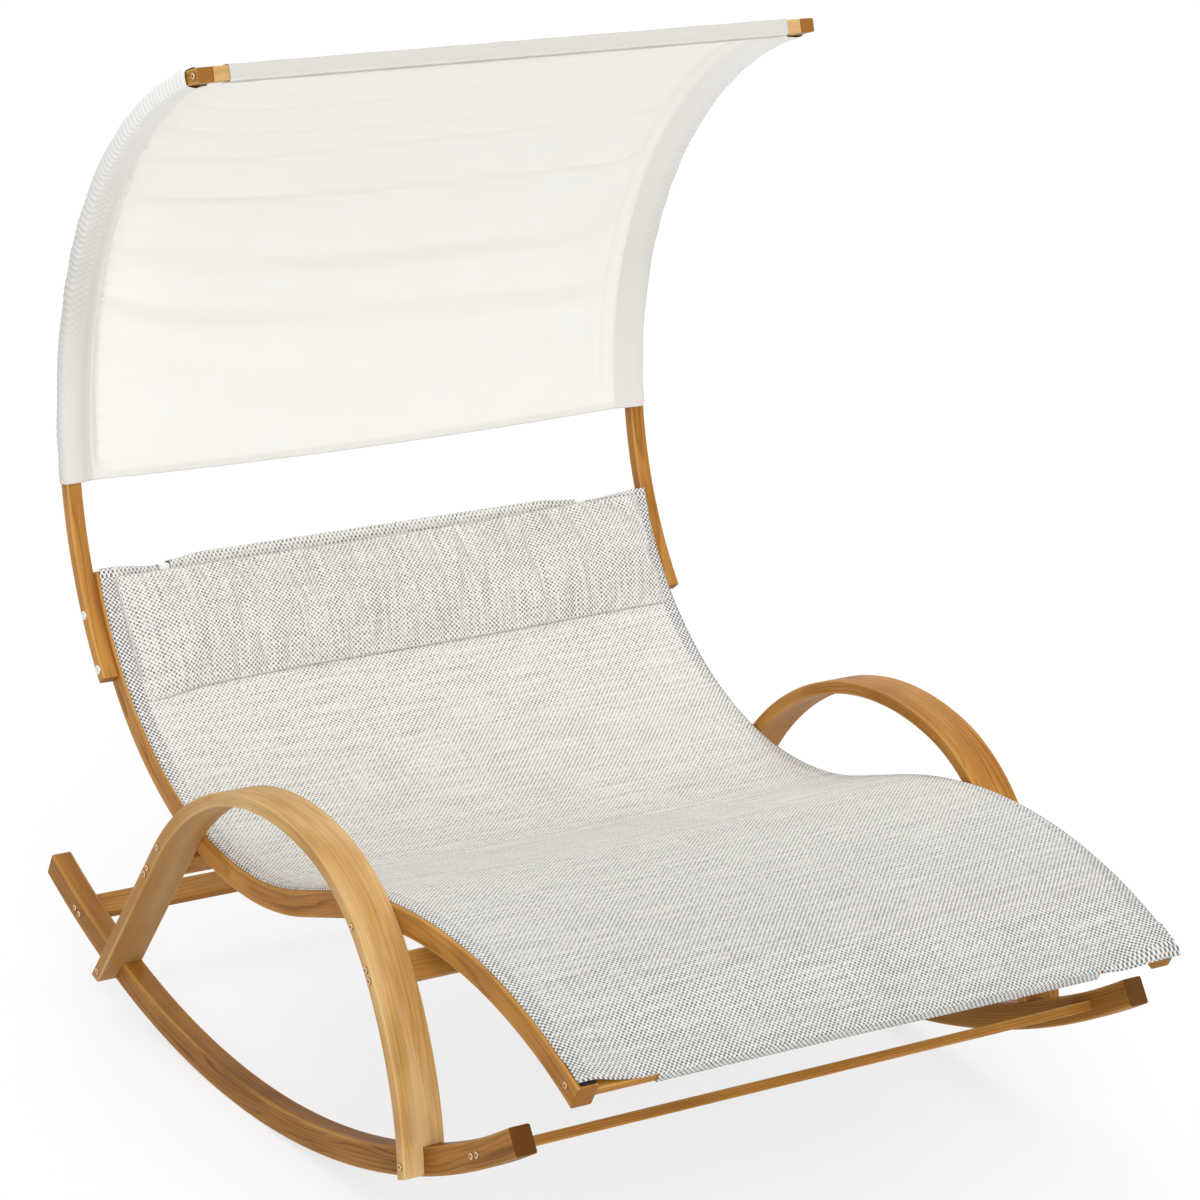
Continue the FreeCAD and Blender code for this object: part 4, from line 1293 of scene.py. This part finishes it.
def gather(piece):
    """Shallow upright folds in the pillow's front, deepest by the two long seams."""
    mesh = piece.data
    places, outs, weave = (np.empty(len(mesh.vertices) * 3, np.float32) for k in range(3))
    mesh.vertices.foreach_get("co", places)
    mesh.vertex_normals.foreach_get("vector", outs)
    mesh.attributes["weave"].data.foreach_get("vector", weave)
    u, v = weave.reshape(-1, 3).T[:2] * 1000
    t = np.clip((v - 3.0) / pillow_cover, 0.0, 1.0)
    edge = 0.30 + 0.70 * np.abs(2 * t - 1) ** 1.5
    lean = u + 8.0 * np.sin(v / 60.0 + u / 210.0)
    wave = np.sin(lean / 7.1 + 2.2 * np.sin(lean / 83.0))
    wave += 0.8 * np.sin(lean / 17.3 + 1.6 * np.sin(lean / 139.0) + 0.7)
    seam = smooth(t / 0.05) * smooth((1 - t) / 0.05) * smooth((pillow_half - np.abs(u)) / 40.0)
    depth = 0.0011 * wave * edge * seam * (v < pillow_cover + 6.0)
    mesh.vertices.foreach_set("co", places + (outs.reshape(-1, 3) * depth[:, None]).ravel())
    mesh.update()


def pillow():
    points, vectors, faces, front = pillow_shell(168, 34)
    piece = make_piece("pillow_cushion", points, faces, pillow_weave, vectors, "weave", crease=80.0)
    fill(piece, front, 0.020)
    gather(piece)
    smoothing = piece.modifiers.new("soft", "SUBSURF")
    smoothing.levels = 1
    smoothing.render_levels = 1
    return piece


# The pillow's top seam lies by the head bar
pillow_cushion = pillow()
seam_zone = to_row([(0.0, *seat_point(seat_length - inset, pillow_back)) for inset in (2.0, 40.0)])
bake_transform(pillow_cushion)
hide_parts("pillow")

strap_from = 452.0
strap_to = 474.0


def pillow_straps():
    """White webbing round the bare ends of the head bar, up to the pillow's top seam."""
    place, angle = bars[1]
    along, out = heading(angle), heading(angle + 90)
    half_w, half_t = batten_width / 2 + 1.0, batten_thickness / 2 + 1.0
    ring = [(-half_w, -half_t + 3), (-half_w, half_t - 3), (-half_w + 3, half_t), (-18.0, half_t),
            (-4.0, half_t + 0.4), (10.0, half_t), (half_w - 3, half_t), (half_w, half_t - 3),
            (half_w, -half_t + 3), (half_w - 3, -half_t), (0.0, -half_t - 0.3), (-half_w + 3, -half_t)]
    ring.append(ring[0])
    runs = np.cumsum([0.0] + [math.dist(first, second) for first, second in zip(ring, ring[1:])])
    rows = [(moved(moved(place, along, w), out, n), run) for (w, n), run in zip(ring, runs)]
    # A tab rises from the top of the loop to the pillow's seam
    tab = [at_head(-30.0, bar_top + 1.4), at_head(-24.0, bar_top + 8.0), at_head(-20.0, bar_top + 16.0),
           at_head(-19.0, 5.0)]
    rows += [(spot, runs[-1] + 9.0 * k) for k, spot in enumerate(tab)]
    stations = np.linspace(strap_from, strap_to, 7)
    middle = (strap_from + strap_to) / 2
    faces = grid_faces(len(rows), len(stations), lambda r, c: r != len(ring) - 1)
    for side_name, side in sides:
        points = [(x * side, *spot) for spot, run in rows for x in stations]
        vectors = [((x - middle) / 1000, run / 1000, 0.0) for spot, run in rows for x in stations]
        piece = make_sheet(side_name + "_strap_webbing", points, faces, webbing, vectors, 0.0012)
        add_piece(piece, "strap_webbing", side_name + "_pillow_strap")


pillow_straps()


# Stage: a white floor and backdrop, soft light, and the camera
def make_floor():
    reach = 60.0
    corners = [(-reach, -reach, 0), (reach, -reach, 0), (reach, reach, 0), (-reach, reach, 0)]
    mesh = bpy.data.meshes.new("floor")
    mesh.from_pydata(corners, [], [(0, 1, 2, 3)])
    s = new_shader("floor_white")
    shown = s.background_rays()
    colour = s.mix(shown, (0.84, 0.84, 0.84), (0.96, 0.96, 0.96))
    s.over(s.times(shown, 0.72), s.surface, s.node("Emission", {"Strength": 1.0}))
    mesh.materials.append(s.finish({"Base Color": colour, "Roughness": 1.0, "Specular IOR Level": 0.0}))
    floor = bpy.data.objects.new("floor", mesh)
    scene.collection.objects.link(floor)


def make_light():
    white = (1, 1, 1, 1)
    s = Shader(bpy.data.worlds.new("studio"), "Background", "OutputWorld")
    s.over(s.background_rays(), s.surface, s.node("Background", {"Color": white, "Strength": 1.0}))
    scene.world = s.finish({"Color": white, "Strength": 0.62})
    for name, energy, angle, direction in (
            ("key", 1.15, 45.0, (-0.40, -0.78, 0.48)), ("front", 0.55, 90.0, (0.10, -1.0, 0.12)),
            ("high", 0.40, 60.0, (-0.05, -0.45, 0.89)), ("above", 0.80, 60.0, (0.15, 0.50, 0.86))):
        lamp = bpy.data.lights.new(name, "SUN")
        lamp.energy = energy
        lamp.angle = math.radians(angle)
        sun = bpy.data.objects.new(name, lamp)
        sun.rotation_mode = "QUATERNION"
        sun.rotation_quaternion = Vector(direction).to_track_quat("Z", "Y")
        scene.collection.objects.link(sun)


def make_camera():
    """The photograph's view: worked out for the upright drawing, and leaned back with the lounger."""
    azimuth, elevation = math.radians(-32.71), math.radians(14.93)
    camera_at = (-3845.7, -6095.6, 2783.4)
    data = bpy.data.cameras.new("camera")
    data.sensor_width = 36.0
    data.lens = 124.44
    data.clip_end = 200.0
    camera = bpy.data.objects.new("camera", data)
    level = math.cos(elevation)
    back = Vector((math.sin(azimuth) * level, -math.cos(azimuth) * level, math.sin(elevation)))
    turn = Matrix.Rotation(-rest_lean, 3, "X") @ (-back).to_track_quat("-Z", "Y").to_matrix()
    camera.rotation_mode = "QUATERNION"
    camera.rotation_quaternion = turn.to_quaternion()
    camera.location = Vector(to_row([camera_at])[0])
    scene.collection.objects.link(camera)
    scene.camera = camera


make_floor()
make_light()
make_camera()
scene.view_settings.view_transform = "Standard"
